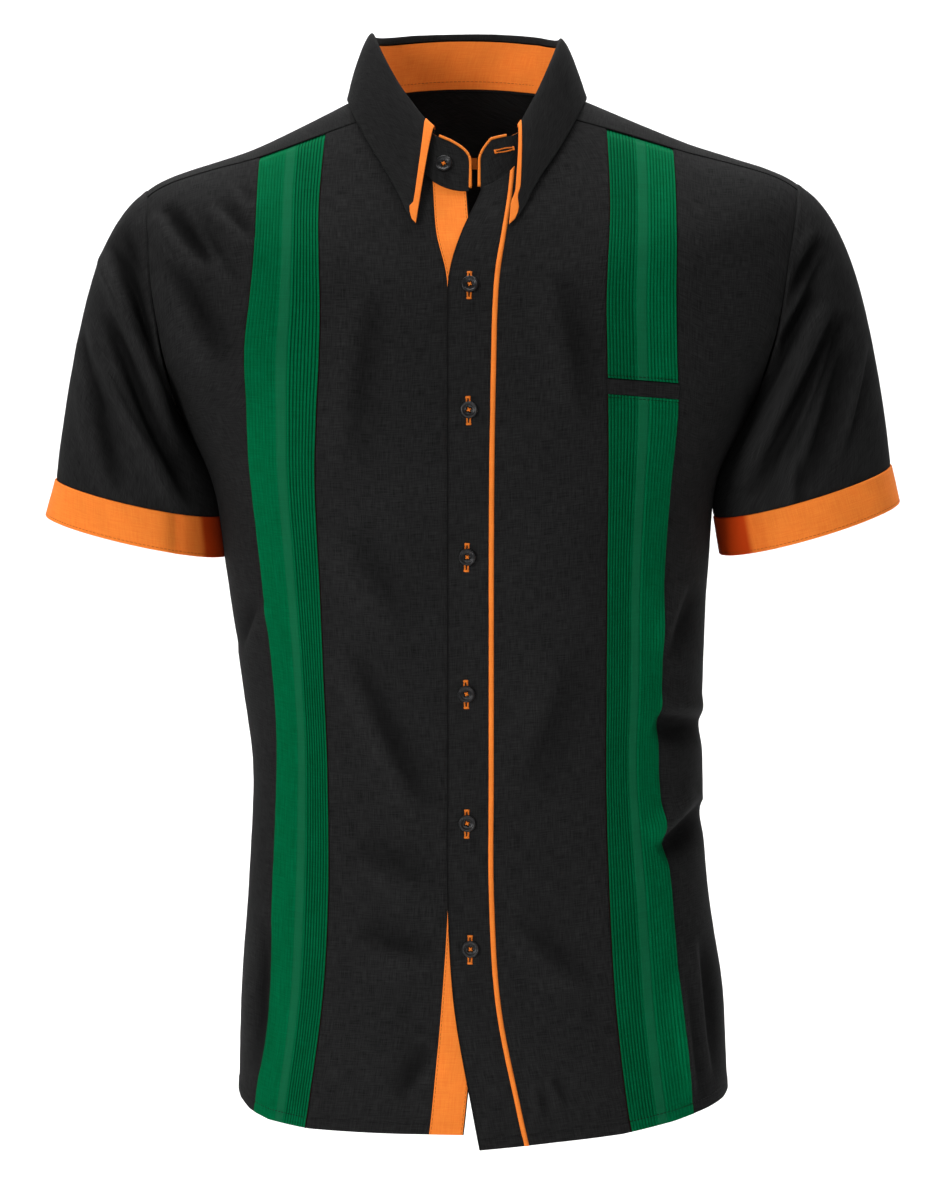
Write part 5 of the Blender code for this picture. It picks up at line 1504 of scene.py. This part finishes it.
def onFront(x, z, out):
    levels = np.linspace(0, neck, 900)
    heights = bodySurface(levels, angleAtX(levels, x))[:, 2]
    level = float(np.interp(z, heights, levels))
    angle = float(angleAtX(level, x))
    return bodyCloth(np.array(level), np.array(angle), out)[:2]


def onStand(x, height, out):
    angle = float(angleAtX(neck, x))
    normal = surfaceNormals(lambda tall, turn: standPoint(turn, tall), np.array(height), np.array(angle))
    return standPoint(angle, height) + normal * out, normal


standFastening = {
    "button": (-0.0155, 0.014 / 0.0345), "hole": (0.0255, 0.5), "holeSlant": -78
}  # X and share of height
buttonThreads, holeThreads = [], []
for number, (x, z) in enumerate(buttonPlaces, 1):
    middle, normal = onFront(x, z, opening["placketRise"] + 0.45 * mm)
    buttonThreads += makeButton(
        f"button{number}", f"button_{number}", middle, normal, 0.35 * math.sin(number * 2.1)
    )
    holeMiddle, normal = onFront(x - 0.3 * mm, z - 0.4 * mm, opening["placketRise"] + 0.05 * mm)
    holeThreads += makeButtonhole(holeMiddle, normal, 18.0, 1.2, 0.03 * math.sin(number * 3.7))
middle, normal = onStand(*standFastening["button"], 0.6 * mm)
buttonThreads += makeButton("standButton", "stand_button", middle, normal, 0.5)
middle, normal = onStand(*standFastening["hole"], 0.1 * mm)
holeThreads += makeButtonhole(middle, normal, 13.0, 0.9, math.radians(standFastening["holeSlant"]))
dress(joinTubes("buttonThread", buttonThreads, orangeThread), [])
dress(joinTubes("buttonholeThread", holeThreads, orangeThread), [])
print("buttons and buttonholes made")

# ---- camera, backdrop and light

view = {"place": (0.0056, -2.600, -0.3458), "lens": 112.55, "floorZ": -1.15, "wallY": 1.9, "bend": 0.9}
camera = bpy.data.objects.new("camera", bpy.data.cameras.new("camera"))
bpy.context.scene.collection.objects.link(camera)
camera.data.sensor_width = 36.0
camera.data.lens = view["lens"]
camera.location = view["place"]
camera.rotation_euler = (math.pi / 2, 0, 0)
bpy.context.scene.camera = camera


def makeBackdrop():
    # a floor that bends up into a wall: flat, then a quarter circle, then upright
    t = np.linspace(0, 1, 40)
    bend = view["bend"]
    y = np.concatenate(
        [
            np.linspace(-1.5, view["wallY"] - bend, 12),
            view["wallY"] - bend + bend * np.sin(t * math.pi / 2), np.full(8, view["wallY"])
        ]
    )
    z = np.concatenate(
        [np.zeros(12), bend - bend * np.cos(t * math.pi / 2), np.linspace(bend + 0.1, 4.5, 8)]
    ) + view["floorZ"]
    x = np.linspace(-4.5, 4.5, 12)
    points = np.stack(
        [np.repeat(x[None, :], len(y), 0), np.repeat(y[:, None], 12, 1), np.repeat(z[:, None], 12, 1)],
        -1
    )
    made = bpy.data.materials.new("white seamless paper, matt")
    made.use_nodes = True
    tree, shader = made.node_tree, made.node_tree.nodes["Principled BSDF"]
    place = addNode(tree, "TexCoord").outputs["Object"]
    tooth = addNode(tree, "TexNoise", {"Vector": place}, {"Scale": 60.0, "Detail": 3.0}).outputs[0]
    bump = addNode(tree, "Bump", {"Height": tooth}, {"Strength": 0.02, "Distance": 0.001})
    tree.links.new(bump.outputs[0], shader.inputs["Normal"])
    # seen from behind, the paper lets the view through
    behind = addNode(tree, "NewGeometry").outputs["Backfacing"]
    clear = addNode(tree, "BsdfTransparent").outputs[0]
    seen = addNode(tree, "MixShader", {0: behind, 1: shader.outputs[0], 2: clear}).outputs[0]
    tree.links.new(seen, tree.nodes["Material Output"].inputs["Surface"])
    shader.inputs["Base Color"].default_value = (0.93, 0.93, 0.93, 1)
    shader.inputs["Roughness"].default_value = 0.95
    shader.inputs["Specular IOR Level"].default_value = 0.1
    makeMesh("backdrop", points, gridQuads(len(y), 12), made)


makeBackdrop()

lamps = {  # place, aim, width, height, watts
    "keyLeft": ((-1.7, -2.2, 0.35), (0.0, 0.0, -0.35), 0.8, 1.0, 40),
    "front": ((0.1, -2.7, 0.1), (0.0, 0.0, -0.25), 1.0, 0.8, 9),
    "fillRight": ((2.3, -2.0, 0.0), (0.0, 0.0, -0.40), 1.6, 1.8, 5),
    "overhead": ((-0.3, -0.9, 1.9), (0.0, 0.0, -0.30), 1.4, 1.0, 4),
    "paper": ((0.0, 0.4, 2.6), (0.0, 2.2, -0.4), 3.5, 1.0, 170),
}
for name, (place, aim, width, height, watts) in lamps.items():
    lamp = bpy.data.objects.new(name, bpy.data.lights.new(name, "AREA"))
    lamp.data.shape = "RECTANGLE"
    lamp.data.size, lamp.data.size_y, lamp.data.energy = width, height, watts
    lamp.location = place
    lamp.rotation_euler = (Vector(aim) - Vector(place)).to_track_quat("-Z", "Y").to_euler()
    bpy.context.scene.collection.objects.link(lamp)
world = bpy.data.worlds.new("studio")
world.use_nodes = True
world.node_tree.nodes["Background"].inputs["Color"].default_value = (1.0, 1.0, 1.0, 1)
ray = addNode(world.node_tree, "LightPath").outputs["Is Camera Ray"]
glow = addNode(world.node_tree, "MapRange", {"Value": ray}, {"To Min": 0.12, "To Max": 1.0}).outputs[0]
world.node_tree.links.new(glow, world.node_tree.nodes["Background"].inputs["Strength"])
bpy.context.scene.world = world
bpy.context.scene.view_settings.view_transform = "Standard"
bpy.context.scene.view_settings.look = "None"
